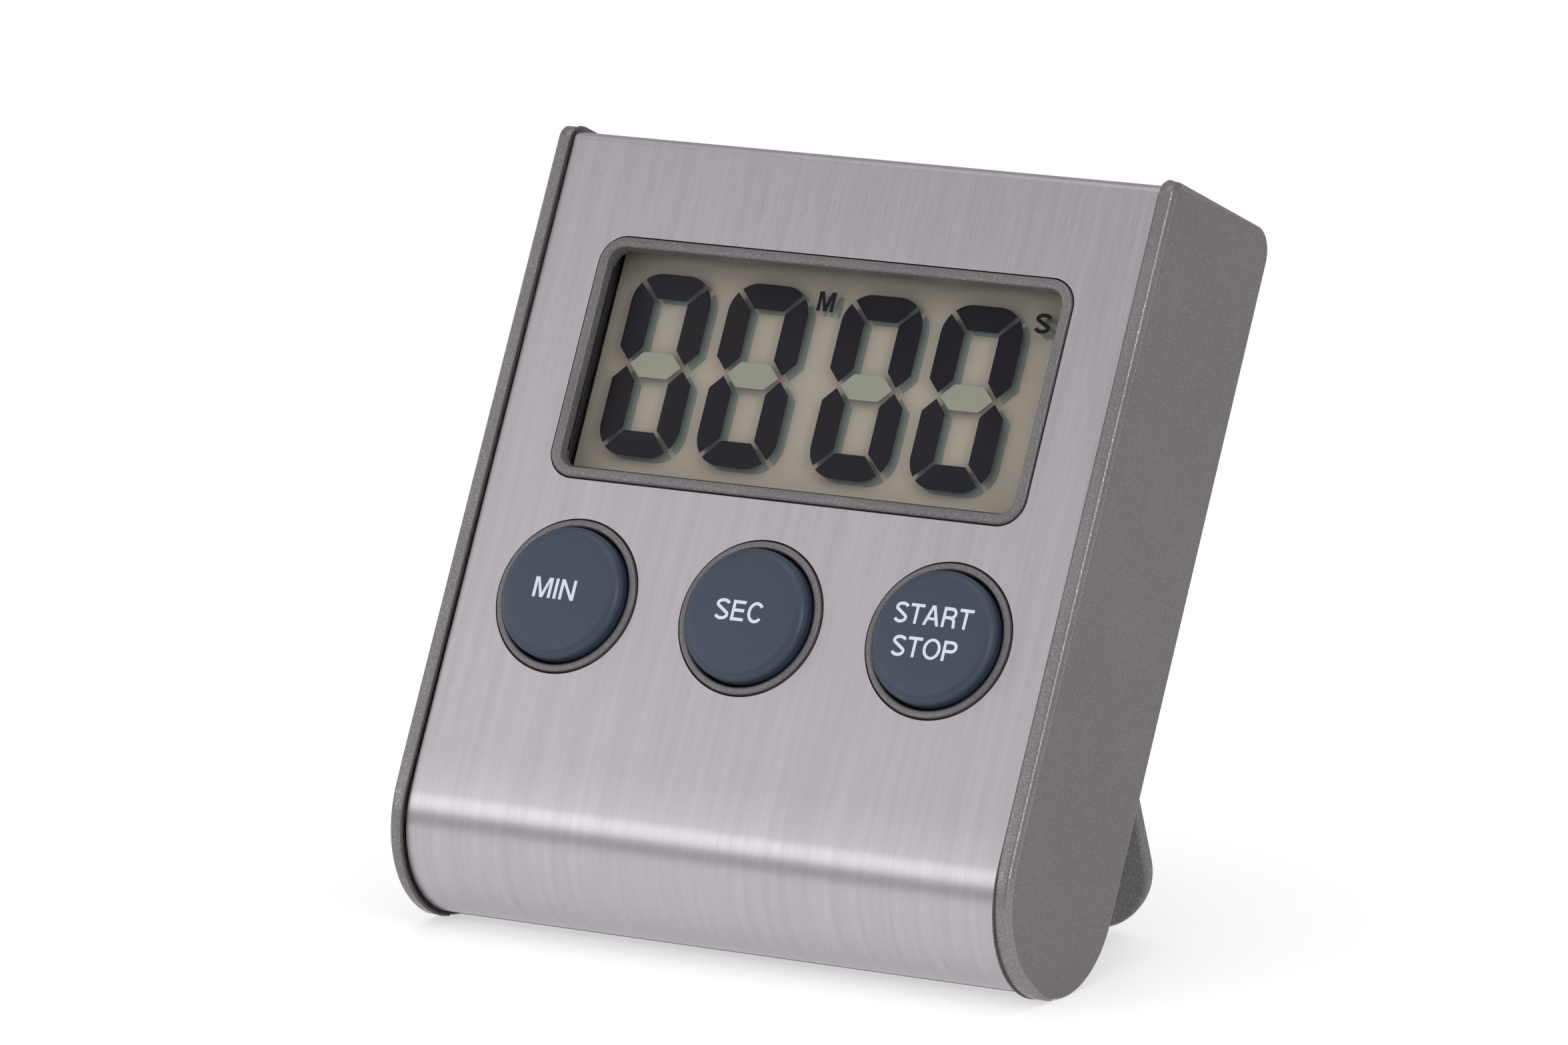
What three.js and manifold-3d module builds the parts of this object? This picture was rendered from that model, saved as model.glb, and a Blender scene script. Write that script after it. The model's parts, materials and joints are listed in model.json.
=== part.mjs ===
// Digital kitchen timer that stands on a fold-out rear flap.
//
// Everything is modelled in millimetres in the timer's own axes:
//   X to the right, Y up the face, Z out of the face.
// Y = 0 is the axis of the rounded bottom and Z = 0 is the outer face of the steel cover.
// At the end the whole group is leaned back on its stand, centred on X and Y, and set down on Z = 0.

import * as THREE from 'three';
import { mergeVertices } from 'three/addons/utils/BufferGeometryUtils.js';
import Module from 'manifold-3d';

const wasm = await Module();
wasm.setup();
const { Manifold, Mesh: ManifoldMesh } = wasm;

// ---------------------------------------------------------------- driving sizes

const LEAN = THREE.MathUtils.degToRad(26.8);      // face leans back this far from upright
const STAND_OPEN = THREE.MathUtils.degToRad(48);  // flap angle from the rear face when open

const COVER_HALF = 29.85;      // half width of the steel cover
const CAP_INNER = 30;          // where each end cap starts
const CAP_OUTER = 31.5;        // outer face of each end cap
const DEPTH = 18.5;            // front of the cover to the rear plane
const REAR = -DEPTH;
const BOTTOM_RADIUS = 8.6;     // bend of the cover under the face
const BEND_SWEEP = THREE.MathUtils.degToRad(130); // how far round the outline follows that bend
const TOP_Y = 61.85;           // top of the cover at its front edge
const TOP_RISE = 0.07;         // the top climbs this much per millimetre of depth
const TOP_BEND = 1.6;          // bend of the cover over the top edge
const SHEET = 0.5;             // steel thickness
const COVER_END = -11.5;       // the cover and the cap rims stop at this depth
const REAR_RADIUS = 9;         // bend of the rear half, about an axis at REAR_AXIS_Y
const REAR_AXIS_Y = 0.35;
const REAR_TOP_RADIUS = 2.5;
const RIM = 0.45;              // cap rims stand this proud of the cover
const RIM_SOFT = 0.35;         // softened outer edge of the caps
const WALL = 1.6;              // moulded wall
const FIT = 0.3;               // clearance between neighbouring mouldings
const BEVEL_STEPS = 1;         // facets across each softened edge

const BEZEL = { x: 24.05, y0: 29.72, y1: 52.18, radius: 2.5, proud: 0.3 };
const WINDOW = { x: 23.1, y0: 30.85, y1: 51.2, radius: 1.5 };
const LENS = { x: 23.9, y0: 30, y1: 52, front: -1.3, back: -2.5 };
const GLASS = { x: 24.3, y0: 29.5, y1: 52.5, front: -2.75, back: -3.75 };

const BUTTON_Y = 19;
const BUTTON_PITCH = 18.9;
const BUTTON_RADIUS = 6.05;
const BUTTON_TOP = 1.7;         // middle of the crown above the cover
const BUTTON_SOFT = 0.8;        // rounding from the crown into the side
const BUTTON_TRAVEL = 0.8;
const ROUND_FACETS = 40;
const COLLAR_RADIUS = 6.95;
const COLLAR_BORE = 6.3;

const FRAME_FRONT = -SHEET - FIT;
const FRAME_BACK = -2.6;
const FRAME_HALF = 27.2;

const BOARD = { x: 25.6, y0: 9, y1: 31.6, front: -8, back: -9.2 };

const CELL = { y: 41.6, z: -11.45, radius: 5.25, left: -20.6, right: 22.7, nub: 1 };
const BAY = { x: 26, y0: 35.6, y1: 47.6, floor: -5.5, wall: 1.3 };
const DOOR = { x: 26.4, y0: 34.9, y1: 48.3, outer: REAR + 0.2, inner: -17 };

const MAGNET = { x: 15, y: 55.6, radius: 5, outer: REAR + 0.1, inner: -16.6 };
const CASE_SCREWS = [
  { name: 'case_screw_top_left', x: -24.2, y: 56, head: -17.9 },
  { name: 'case_screw_top_right', x: 24.2, y: 56, head: -17.9 },
  { name: 'case_screw_bottom_left', x: -21, y: 3.5, head: -16.85 },
  { name: 'case_screw_bottom_right', x: 21, y: 3.5, head: -16.85 },
];
const SCREW_HEAD_RADIUS = 2.1;
const SCREW_HEAD_HEIGHT = 1;
const SCREW_SHANK_RADIUS = 0.95;
const SCREW_LENGTH = 8;
const SCREW_BOSS_RADIUS = 2.4;
const SCREW_PAD_RADIUS = 3;
const BOARD_SCREW = { x: 23.8, y: 11.2 };

const HINGE = { y: 18, z: -17.2 };
const FLAP = { x: 28.2, outer: REAR, inner: -17, corner: 7.8, barrel: 0.95, pin: 0.6, soft: 0.25 };
const RECESS = { x: 28.5, top: 19.75, floor: -16.8, inside: -15.3 };
const SOUNDER = { y: 9, radius: 9, back: -14.9, front: -12.4 };

// ---------------------------------------------------------------- shape helpers

// Turns a closed three.js geometry into a manifold solid.
function solid(geometry) {
  const bare = geometry.clone();
  bare.deleteAttribute('normal');
  bare.deleteAttribute('uv');
  const merged = mergeVertices(bare, 1e-5);
  const mesh = new ManifoldMesh({
    numProp: 3,
    vertProperties: Float32Array.from(merged.attributes.position.array),
    triVerts: Uint32Array.from(merged.index.array),
  });
  return new Manifold(mesh);
}

function join(...solids) {
  return Manifold.union(solids);
}

function cut(base, ...tools) {
  return base.subtract(Manifold.union(tools));
}

// Corner points with a radius at each corner become a smooth outline.
function rounded(corners, radii, facet = 0.9) {
  const points = [];
  corners.forEach(([x, y], i) => {
    const corner = new THREE.Vector2(x, y);
    const before = new THREE.Vector2(...corners[(i + corners.length - 1) % corners.length]);
    const after = new THREE.Vector2(...corners[(i + 1) % corners.length]);
    const radius = Array.isArray(radii) ? radii[i] : radii;
    const toBefore = before.sub(corner).normalize();
    const toAfter = after.sub(corner).normalize();
    if (radius === 0) {
      points.push(corner);
      return;
    }
    const half = Math.acos(THREE.MathUtils.clamp(toBefore.dot(toAfter), -1, 1)) / 2;
    const middle = toBefore.clone().add(toAfter).normalize();
    const centre = corner.clone().addScaledVector(middle, radius / Math.sin(half));
    const start = corner.clone().addScaledVector(toBefore, radius / Math.tan(half)).sub(centre);
    const end = corner.clone().addScaledVector(toAfter, radius / Math.tan(half)).sub(centre);
    const turn = Math.atan2(start.cross(end), start.dot(end));
    const steps = Math.max(2, Math.ceil((Math.abs(turn) * radius) / facet));
    for (let k = 0; k <= steps; k += 1) {
      points.push(start.clone().rotateAround(new THREE.Vector2(), (turn * k) / steps).add(centre));
    }
  });
  return points;
}

// A rectangle with rounded corners, standing between two depths.
function plate({ x0, x1, y0, y1, z0, z1, radius = 0, soft = 0, facet = 0.6 }) {
  const corners = [[x0, y0], [x1, y0], [x1, y1], [x0, y1]];
  const shape = new THREE.Shape(rounded(corners, radius, facet));
  const geometry = new THREE.ExtrudeGeometry(shape, {
    depth: z1 - z0 - 2 * soft,
    bevelEnabled: soft > 0,
    bevelThickness: soft,
    bevelSize: soft,
    bevelOffset: -soft,
    bevelSegments: BEVEL_STEPS,
  });
  geometry.translate(0, 0, z0 + soft);
  return solid(geometry);
}

function block(x0, x1, y0, y1, z0, z1) {
  const geometry = new THREE.BoxGeometry(x1 - x0, y1 - y0, z1 - z0);
  geometry.translate((x0 + x1) / 2, (y0 + y1) / 2, (z0 + z1) / 2);
  return solid(geometry);
}

// A round solid whose axis points out of the face.
function disc(x, y, radius, z0, z1, segments = 32) {
  const geometry = new THREE.CylinderGeometry(radius, radius, z1 - z0, segments);
  geometry.rotateX(Math.PI / 2);
  geometry.translate(x, y, (z0 + z1) / 2);
  return solid(geometry);
}

// A round solid whose axis runs across the timer.
function rod(y, z, radius, x0, x1, segments = 20) {
  const geometry = new THREE.CylinderGeometry(radius, radius, x1 - x0, segments);
  geometry.rotateZ(Math.PI / 2);
  geometry.translate((x0 + x1) / 2, y, z);
  return solid(geometry);
}

// An outline of (Y, Z) points pushed along X, with softened ends where asked.
function acrossX(points, x0, x1, soft = 0) {
  const geometry = new THREE.ExtrudeGeometry(new THREE.Shape(points), {
    depth: x1 - x0 - 2 * soft,
    bevelEnabled: soft > 0,
    bevelThickness: soft,
    bevelSize: soft,
    bevelOffset: -soft,
    bevelSegments: BEVEL_STEPS,
  });
  const toX = new THREE.Matrix4().set(0, 0, 1, x0 + soft, 1, 0, 0, 0, 0, 1, 0, 0, 0, 0, 0, 1);
  geometry.applyMatrix4(toX);
  return solid(geometry);
}

// Profile points (radius, height) turned about an axis that points out of the face.
function turned(profile, x, y, segments = 32) {
  const points = profile.map(([radius, height]) => new THREE.Vector2(radius, height));
  const geometry = new THREE.LatheGeometry(points, segments);
  geometry.rotateX(Math.PI / 2);
  geometry.translate(x, y, 0);
  return solid(geometry);
}

// ---------------------------------------------------------------- body outlines

function topAt(z) {
  return TOP_Y - TOP_RISE * z;
}

// Side outline of the cover, grown outward at the front, top and bottom. It runs on behind the cover's end.
function coverOutline(grow) {
  const radius = BOTTOM_RADIUS + grow;
  const steps = 18;
  const bend = [];
  for (let k = 0; k <= steps; k += 1) {
    const angle = (k / steps) * BEND_SWEEP;
    bend.push(new THREE.Vector2(-radius * Math.sin(angle), radius * Math.cos(angle) - BOTTOM_RADIUS));
  }
  const corners = [[0, REAR], [topAt(REAR) + grow, REAR], [topAt(0) + grow, grow], [0, grow]];
  const upper = rounded(corners, [0, 0, TOP_BEND + grow, 0]);
  return [...upper.slice(0, -1), ...bend];
}

// Side outline of the rear half, drawn in a little from the cover so that the cover ends in a step.
function rearOutline(inset) {
  const radius = REAR_RADIUS - inset;
  const bottom = REAR_AXIS_Y - radius;
  const top = topAt(REAR) + RIM - inset;
  const front = -SHEET - inset;
  const corners = [[bottom, front], [bottom, REAR + inset], [top, REAR + inset], [topAt(0) + RIM - inset, front]];
  return rounded(corners, [radius, radius, Math.max(1, REAR_TOP_RADIUS - inset), 1]);
}

// ---------------------------------------------------------------- outer parts

function frontCover() {
  const outer = acrossX(coverOutline(0), -COVER_HALF, COVER_HALF);
  const inner = acrossX(coverOutline(-SHEET), -COVER_HALF - 1, COVER_HALF + 1);
  const behind = block(-40, 40, -20, 80, REAR - 5, COVER_END);
  const windowHole = plate({
    x0: -BEZEL.x - 0.15,
    x1: BEZEL.x + 0.15,
    y0: BEZEL.y0 - 0.15,
    y1: BEZEL.y1 + 0.15,
    z0: -3,
    z1: 2,
    radius: BEZEL.radius + 0.15,
  });
  const holes = buttonPlaces().map(({ x }) => disc(x, BUTTON_Y, COLLAR_RADIUS + 0.2, -3, 2, ROUND_FACETS));
  return cut(outer, inner, behind, windowHole, ...holes);
}

function endCap(side) {
  const rim = cut(
    acrossX(coverOutline(RIM), CAP_INNER - 1, CAP_OUTER, RIM_SOFT),
    block(CAP_INNER - 2, CAP_OUTER + 1, -20, 80, REAR - 5, COVER_END),
  );
  const sidePlate = acrossX(rearOutline(0), CAP_INNER - 1, CAP_OUTER, RIM_SOFT);
  const outside = cut(join(rim, sidePlate), block(CAP_INNER - 3, CAP_INNER, -20, 80, REAR - 5, 5));
  const spigotInset = WALL + 2;
  const spigot = cut(
    acrossX(rearOutline(spigotInset), FRAME_HALF + 0.4, CAP_INNER + 0.2),
    acrossX(rearOutline(spigotInset + 1.2), FRAME_HALF, CAP_INNER + 1),
  );
  const cap = join(outside, spigot);
  return side > 0 ? cap : cap.mirror([1, 0, 0]);
}

function frontFrame() {
  const base = plate({
    x0: -FRAME_HALF, x1: FRAME_HALF, y0: 1, y1: 59, z0: FRAME_BACK, z1: FRAME_FRONT, radius: 1,
  });
  const bezel = plate({
    x0: -BEZEL.x, x1: BEZEL.x, y0: BEZEL.y0, y1: BEZEL.y1,
    z0: FRAME_BACK, z1: BEZEL.proud, radius: BEZEL.radius, soft: 0.22,
  });
  const surround = plate({
    x0: -GLASS.x - 1.6, x1: GLASS.x + 1.6, y0: GLASS.y0 - 1.4, y1: GLASS.y1 + 1.4,
    z0: GLASS.back - 0.85, z1: FRAME_FRONT - 0.5, radius: 0.8,
  });
  const collars = buttonPlaces().map(({ x }) => turned([
    [0, FRAME_BACK],
    [COLLAR_RADIUS, FRAME_BACK],
    [COLLAR_RADIUS, BEZEL.proud - 0.2],
    [COLLAR_RADIUS - 0.2, BEZEL.proud],
    [0, BEZEL.proud],
  ], x, BUTTON_Y, ROUND_FACETS));
  const bores = buttonPlaces().map(({ x }) => disc(x, BUTTON_Y, COLLAR_BORE, -5, 2, ROUND_FACETS));
  const caseBosses = CASE_SCREWS.map(({ x, y, head }) => disc(
    x, y, SCREW_BOSS_RADIUS, head + 3, FRAME_BACK + 0.2, 20,
  ));
  const caseHoles = CASE_SCREWS.map(({ x, y }) => disc(x, y, SCREW_SHANK_RADIUS + 0.25, REAR, -6.5, 16));
  const boardPosts = [-1, 1].map((side) => disc(
    side * BOARD_SCREW.x, BOARD_SCREW.y, 2, BOARD.front + FIT, FRAME_BACK + 0.2, 20,
  ));
  const boardHoles = [-1, 1].map((side) => disc(
    side * BOARD_SCREW.x, BOARD_SCREW.y, 1, REAR, -4.5, 14,
  ));
  const opening = plate({
    x0: -WINDOW.x, x1: WINDOW.x, y0: WINDOW.y0, y1: WINDOW.y1, z0: -8, z1: 3, radius: WINDOW.radius,
  });
  const lensPocket = plate({
    x0: -LENS.x - FIT, x1: LENS.x + FIT, y0: LENS.y0 - FIT, y1: LENS.y1 + FIT,
    z0: -8, z1: LENS.front + 0.1, radius: 1.4,
  });
  const glassPocket = block(
    -GLASS.x - FIT, GLASS.x + FIT, GLASS.y0 - FIT, GLASS.y1 + FIT, -8, FRAME_BACK,
  );
  const raised = join(base, bezel, surround, ...collars, ...caseBosses, ...boardPosts);
  return cut(raised, ...bores, ...caseHoles, ...boardHoles, opening, lensPocket, glassPocket);
}

function rearHousing() {
  const half = COVER_HALF - 0.1;
  const outline = acrossX(rearOutline(0.2), -half, half);
  const shell = cut(
    outline,
    acrossX(rearOutline(0.2 + WALL), -half - 1, half + 1),
  );
  const recessPad = block(-half, half, -7, RECESS.top + WALL, REAR, RECESS.inside);
  const bayBox = block(
    -BAY.x - BAY.wall, BAY.x + BAY.wall, BAY.y0 - 1.6, BAY.y1 + 1.6, REAR + WALL, BAY.floor + 0.8,
  );
  const magnetPads = [-1, 1].map((side) => disc(
    side * MAGNET.x, MAGNET.y, MAGNET.radius + 1.3, REAR + 1, MAGNET.inner + 1.6, 28,
  ));
  const screwPads = CASE_SCREWS.map(({ x, y, head }) => disc(x, y, SCREW_PAD_RADIUS, REAR + 1, head + 2.7, 24));
  const added = join(recessPad, ...magnetPads, ...screwPads).intersect(outline);
  const rearHalf = block(-40, 40, -20, 80, REAR - 2, COVER_END - FIT);
  const tongue = cut(
    acrossX(coverOutline(-SHEET - 0.35), -half, half),
    acrossX(coverOutline(-SHEET - 0.95), -half - 1, half + 1),
    block(-40, 40, -20, 80, COVER_END + 2, 5),
    block(-40, 40, -20, 80, REAR - 2, COVER_END - 1.5),
  );
  const walls = join(shell.intersect(rearHalf), added.intersect(rearHalf), tongue, bayBox);

  const bay = block(-BAY.x, BAY.x, BAY.y0, BAY.y1, REAR - 2, BAY.floor);
  const doorOpening = block(
    -DOOR.x - FIT, DOOR.x + FIT, DOOR.y0 - FIT, DOOR.y1 + FIT, REAR - 2, DOOR.inner + FIT,
  );
  const contactSlots = [-1, 1].map((side) => block(
    side * 24.7 - 1.3, side * 24.7 + 1.3, BAY.y0 - 2, BAY.y0 + 0.2, -11.3, -9.1,
  ));
  const magnetPockets = [-1, 1].map((side) => disc(
    side * MAGNET.x, MAGNET.y, MAGNET.radius + FIT, REAR - 1, MAGNET.inner + FIT, 28,
  ));
  const screwHoles = CASE_SCREWS.flatMap(({ x, y, head }) => [
    disc(x, y, SCREW_SHANK_RADIUS + 0.25, REAR - 1, -9, 16),
    disc(x, y, SCREW_HEAD_RADIUS + 0.35, REAR - 1, head + SCREW_HEAD_HEIGHT + 0.15, 24),
  ]);
  const recess = block(-RECESS.x, RECESS.x, -20, RECESS.top, REAR - 2, RECESS.floor);
  const hingeGroove = rod(HINGE.y, HINGE.z, FLAP.barrel + FIT, -RECESS.x, RECESS.x, 24);
  const pinHoles = rod(HINGE.y, HINGE.z, FLAP.pin + 0.25, -RECESS.x - 1.1, RECESS.x + 1.1, 16);
  const soundHoles = [[0, 0], [3, 0], [-3, 0], [0, 3], [0, -3]].map(([dx, dy]) => disc(
    dx, SOUNDER.y + dy, 0.8, REAR - 1, -14, 14,
  ));
  return cut(
    walls, bay, doorOpening, ...contactSlots, ...magnetPockets, ...screwHoles,
    recess, hingeGroove, pinHoles, ...soundHoles,
  );
}

function batteryDoor() {
  const panel = plate({
    x0: -DOOR.x, x1: DOOR.x, y0: DOOR.y0, y1: DOOR.y1, z0: DOOR.outer, z1: DOOR.inner, radius: 0.4,
  });
  const ribs = [0, 1, 2, 3].map((k) => block(
    -5, 5, DOOR.y1 - 4.4 + k * 1.1, DOOR.y1 - 3.9 + k * 1.1, DOOR.outer - 0.2, DOOR.outer + 0.3,
  ));
  const feet = [-1, 1].map((side) => block(
    side * 15 - 2, side * 15 + 2, BAY.y0 + 0.4, BAY.y0 + 1.3, DOOR.inner - 0.2, DOOR.inner + 1.4,
  ));
  const latch = block(-3, 3, BAY.y1 - 1.3, BAY.y1 - 0.4, DOOR.inner - 0.2, DOOR.inner + 1.8);
  return join(panel, ...ribs, ...feet, latch);
}

// The flap is made closed, flat against the rear, with the hinge axis at the origin.
function flapLength() {
  const tableLevel = contactLevel();
  const edge = new THREE.Vector2(0, FLAP.inner - HINGE.z).rotateAround(new THREE.Vector2(), STAND_OPEN);
  const along = new THREE.Vector2(-1, 0).rotateAround(new THREE.Vector2(), STAND_OPEN);
  const start = heightOf(HINGE.y + edge.x, HINGE.z + edge.y);
  return (start - tableLevel) / -heightOf(along.x, along.y);
}

function stand() {
  const length = flapLength();
  const corners = [[-FLAP.x, -length], [FLAP.x, -length], [FLAP.x, 0], [-FLAP.x, 0]];
  const shape = new THREE.Shape(rounded(corners, [FLAP.corner, FLAP.corner, 0, 0], 0.8));
  const geometry = new THREE.ExtrudeGeometry(shape, {
    depth: FLAP.inner - FLAP.outer - 2 * FLAP.soft,
    bevelEnabled: true,
    bevelThickness: FLAP.soft,
    bevelSize: FLAP.soft,
    bevelOffset: -FLAP.soft,
    bevelSegments: BEVEL_STEPS,
  });
  geometry.translate(0, 0, FLAP.outer - HINGE.z + FLAP.soft);
  const barrel = rod(0, 0, FLAP.barrel, -FLAP.x, FLAP.x, 24);
  const pins = rod(0, 0, FLAP.pin, -FLAP.x - 1, FLAP.x + 1, 16);
  return join(solid(geometry), barrel, pins);
}

function button(x) {
  const crown = [[0, BUTTON_TOP], [3.6, BUTTON_TOP - 0.05]];
  const shoulder = [0, 1, 2, 3].map((k) => {
    const angle = (k / 3) * (Math.PI / 2);
    const radius = BUTTON_RADIUS - BUTTON_SOFT * (1 - Math.sin(angle));
    return [radius, BUTTON_TOP - 0.12 - BUTTON_SOFT * (1 - Math.cos(angle))];
  });
  const flangeTop = FRAME_BACK - FIT;
  const flangeBottom = flangeTop - 0.5;
  const stemEnd = flangeBottom - 0.1;
  const skirt = [
    [BUTTON_RADIUS, flangeTop],
    [COLLAR_BORE + 0.55, flangeTop],
    [COLLAR_BORE + 0.55, flangeBottom],
    [4.7, flangeBottom],
    [4.7, -0.5],
    [1.6, -0.5],
    [1.6, stemEnd],
    [0, stemEnd],
  ];
  return turned([...crown, ...shoulder, ...skirt].reverse(), x, BUTTON_Y, ROUND_FACETS);
}

// ---------------------------------------------------------------- display

function displayWindow() {
  return plate({
    x0: -LENS.x, x1: LENS.x, y0: LENS.y0, y1: LENS.y1, z0: LENS.back, z1: LENS.front, radius: 1.1,
  });
}

function lcdGlass() {
  const cell = block(-GLASS.x, GLASS.x, GLASS.y0, GLASS.y1, GLASS.back, GLASS.front);
  const fillTab = block(GLASS.x - 1.2, GLASS.x + 1, GLASS.y1 - 1, GLASS.y1 + 1, GLASS.back - 1, GLASS.front + 1);
  return cut(cell, fillTab);
}

function lcdReflector() {
  return block(-24, 24, GLASS.y0 + 2.3, GLASS.y1 - 0.3, GLASS.back - 0.4, GLASS.back - 0.1);
}

function zebraStrip() {
  return block(-22, 22, GLASS.y0 + 0.2, GLASS.y0 + 1.8, BOARD.front + 0.15, GLASS.back - 0.15);
}

// ---------------------------------------------------------------- electronics

function circuitBoard() {
  const board = plate({
    x0: -BOARD.x, x1: BOARD.x, y0: BOARD.y0, y1: BOARD.y1, z0: BOARD.back, z1: BOARD.front, radius: 1,
  });
  const holes = [-1, 1].map((side) => disc(side * BOARD_SCREW.x, BOARD_SCREW.y, 1.05, -12, -6, 14));
  return cut(board, ...holes);
}

function tactSwitch(x) {
  const body = plate({
    x0: x - 3, x1: x + 3, y0: BUTTON_Y - 3, y1: BUTTON_Y + 3,
    z0: BOARD.front + 0.1, z1: -4.9, radius: 0.5,
  });
  const plunger = disc(x, BUTTON_Y, 1.7, -5.2, FRAME_BACK - FIT - 0.6 - BUTTON_TRAVEL - 0.05, 20);
  return join(body, plunger);
}

function chipBlob() {
  const profile = [[0, -1.4]];
  for (let k = 1; k <= 5; k += 1) {
    const angle = (k / 5) * (Math.PI / 2);
    profile.push([4.6 * Math.sin(angle), -1.4 * Math.cos(angle)]);
  }
  profile.push([0, 0]);
  const lifted = profile.map(([radius, height]) => [radius, height + BOARD.back - 0.1]);
  return turned(lifted, 0, 24.4, 24);
}

function crystal() {
  return rod(24.5, BOARD.back - 1.15, 1, 9, 15, 16);
}

function sounder() {
  const profile = [
    [0, SOUNDER.back],
    [SOUNDER.radius, SOUNDER.back],
    [SOUNDER.radius, SOUNDER.back + 1.2],
    [SOUNDER.radius - 1, SOUNDER.front],
    [1.2, SOUNDER.front],
    [1.2, SOUNDER.front - 0.8],
    [0, SOUNDER.front - 0.8],
  ];
  return turned(profile, 0, SOUNDER.y, 24);
}

// ---------------------------------------------------------------- power and fixings

function battery() {
  const can = rod(CELL.y, CELL.z, CELL.radius, CELL.left, CELL.right, 28);
  const nub = rod(CELL.y, CELL.z, 1.9, CELL.right - 0.5, CELL.right + CELL.nub, 16);
  return join(can, nub);
}

function contactLeg(x0, x1) {
  const tab = block(x0, x1, CELL.y - 4.6, CELL.y + 4.6, CELL.z - 4, CELL.z + 4);
  const leg = block(x0, x1, BOARD.y1 - 1.2, CELL.y - 4, BOARD.back - 1.7, BOARD.back - FIT);
  return join(tab, leg);
}

function batteryContact() {
  const face = CELL.right + CELL.nub + 0.2;
  return contactLeg(face, face + 0.4);
}

function batterySpring() {
  class ConeCoil extends THREE.Curve {
    getPoint(t, target = new THREE.Vector3()) {
      const angle = t * 3.5 * 2 * Math.PI;
      const radius = THREE.MathUtils.lerp(3.6, 2.1, t);
      const x = THREE.MathUtils.lerp(-25.1, CELL.left - 0.7, t);
      return target.set(x, CELL.y + radius * Math.cos(angle), CELL.z + radius * Math.sin(angle));
    }
  }
  const wire = [];
  for (let k = 0; k < 5; k += 1) {
    const angle = (k / 5) * 2 * Math.PI;
    wire.push(new THREE.Vector2(0.3 * Math.cos(angle), 0.3 * Math.sin(angle)));
  }
  const coil = new THREE.ExtrudeGeometry(new THREE.Shape(wire), {
    steps: 46, extrudePath: new ConeCoil(), bevelEnabled: false,
  });
  return join(contactLeg(-25.6, -25.1), solid(coil));
}

function screw(x, y, head, headRadius, shankRadius, length) {
  const top = head + SCREW_HEAD_HEIGHT;
  const profile = [
    [0, head],
    [headRadius * 0.7, head],
    [headRadius, head + 0.35],
    [headRadius, top],
    [shankRadius, top],
    [shankRadius, top + length - 0.8],
    [0, top + length],
  ];
  const cross = [[1.3, 0.24], [0.24, 1.3]].map(([dx, dy]) => block(
    x - dx, x + dx, y - dy, y + dy, head - 1, head + 0.6,
  ));
  return cut(turned(profile, x, y, 14), ...cross);
}

function boardScrew(side) {
  return screw(side * BOARD_SCREW.x, BOARD_SCREW.y, BOARD.back - 1.1, 1.7, 0.75, 3.4);
}

function magnet(side) {
  const { x, y, radius, outer, inner } = MAGNET;
  const profile = [
    [0, outer],
    [radius - 0.25, outer],
    [radius, outer + 0.25],
    [radius, inner],
    [0, inner],
  ];
  return turned(profile, side * x, y, 28);
}

// ---------------------------------------------------------------- placing

function buttonPlaces() {
  return [
    { name: 'minutes', x: -BUTTON_PITCH },
    { name: 'seconds', x: 0 },
    { name: 'start_stop', x: BUTTON_PITCH },
  ];
}

// Height above the timer's own origin of a point (y, z) once the timer leans back.
function heightOf(y, z) {
  return y * Math.cos(LEAN) + z * Math.sin(LEAN);
}

// The caps touch the table on the bend of their rear half, or on the corner where the rim ends.
function contactLevel() {
  const reach = BOTTOM_RADIUS + RIM;
  const back = COVER_END + BOTTOM_RADIUS;
  const rimCorner = heightOf(-Math.sqrt(reach * reach - back * back), COVER_END);
  const rearBend = heightOf(REAR_AXIS_Y, REAR + REAR_RADIUS) - REAR_RADIUS;
  return Math.min(rimCorner, rearBend);
}

function finish(color, roughness, metalness, extra = {}) {
  return new THREE.MeshStandardMaterial({ color, roughness, metalness, ...extra });
}

const finishes = {
  steel: finish(0xb9b3b8, 0.32, 1),
  greyPlastic: finish(0x77726f, 0.5, 0.15),
  framePlastic: finish(0x8a8688, 0.5, 0.15),
  darkPlastic: finish(0x5c5a58, 0.65, 0),
  button: finish(0x46525f, 0.45, 0),
  clear: finish(0xdfe6e2, 0.05, 0, { transparent: true, opacity: 0.25 }),
  reflector: finish(0x9a9482, 0.6, 0),
  rubber: finish(0xd4b9c4, 0.8, 0),
  board: finish(0x2f6b3f, 0.5, 0),
  black: finish(0x1b1b1c, 0.4, 0),
  plated: finish(0xc9c7c0, 0.28, 1),
  cell: finish(0x3d5f7a, 0.4, 0.2),
};

// Turns a manifold solid back into a mesh with flat-shaded faces.
function addPart(group, name, shape, material) {
  const mesh = shape.getMesh();
  const geometry = new THREE.BufferGeometry();
  geometry.setAttribute('position', new THREE.BufferAttribute(Float32Array.from(mesh.vertProperties), 3));
  geometry.setIndex(Array.from(mesh.triVerts));
  geometry.computeVertexNormals();
  const part = new THREE.Mesh(geometry, material);
  part.name = name;
  group.add(part);
  return part;
}

const timer = new THREE.Group();

addPart(timer, 'front_cover', frontCover(), finishes.steel);
addPart(timer, 'left_end_cap', endCap(-1), finishes.greyPlastic);
addPart(timer, 'right_end_cap', endCap(1), finishes.greyPlastic);
addPart(timer, 'front_frame', frontFrame(), finishes.framePlastic);
addPart(timer, 'rear_housing', rearHousing(), finishes.darkPlastic);
addPart(timer, 'battery_door', batteryDoor(), finishes.darkPlastic);

addPart(timer, 'display_window', displayWindow(), finishes.clear);
addPart(timer, 'lcd_glass', lcdGlass(), finishes.clear);
addPart(timer, 'lcd_reflector', lcdReflector(), finishes.reflector);
addPart(timer, 'zebra_strip', zebraStrip(), finishes.rubber);

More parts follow.
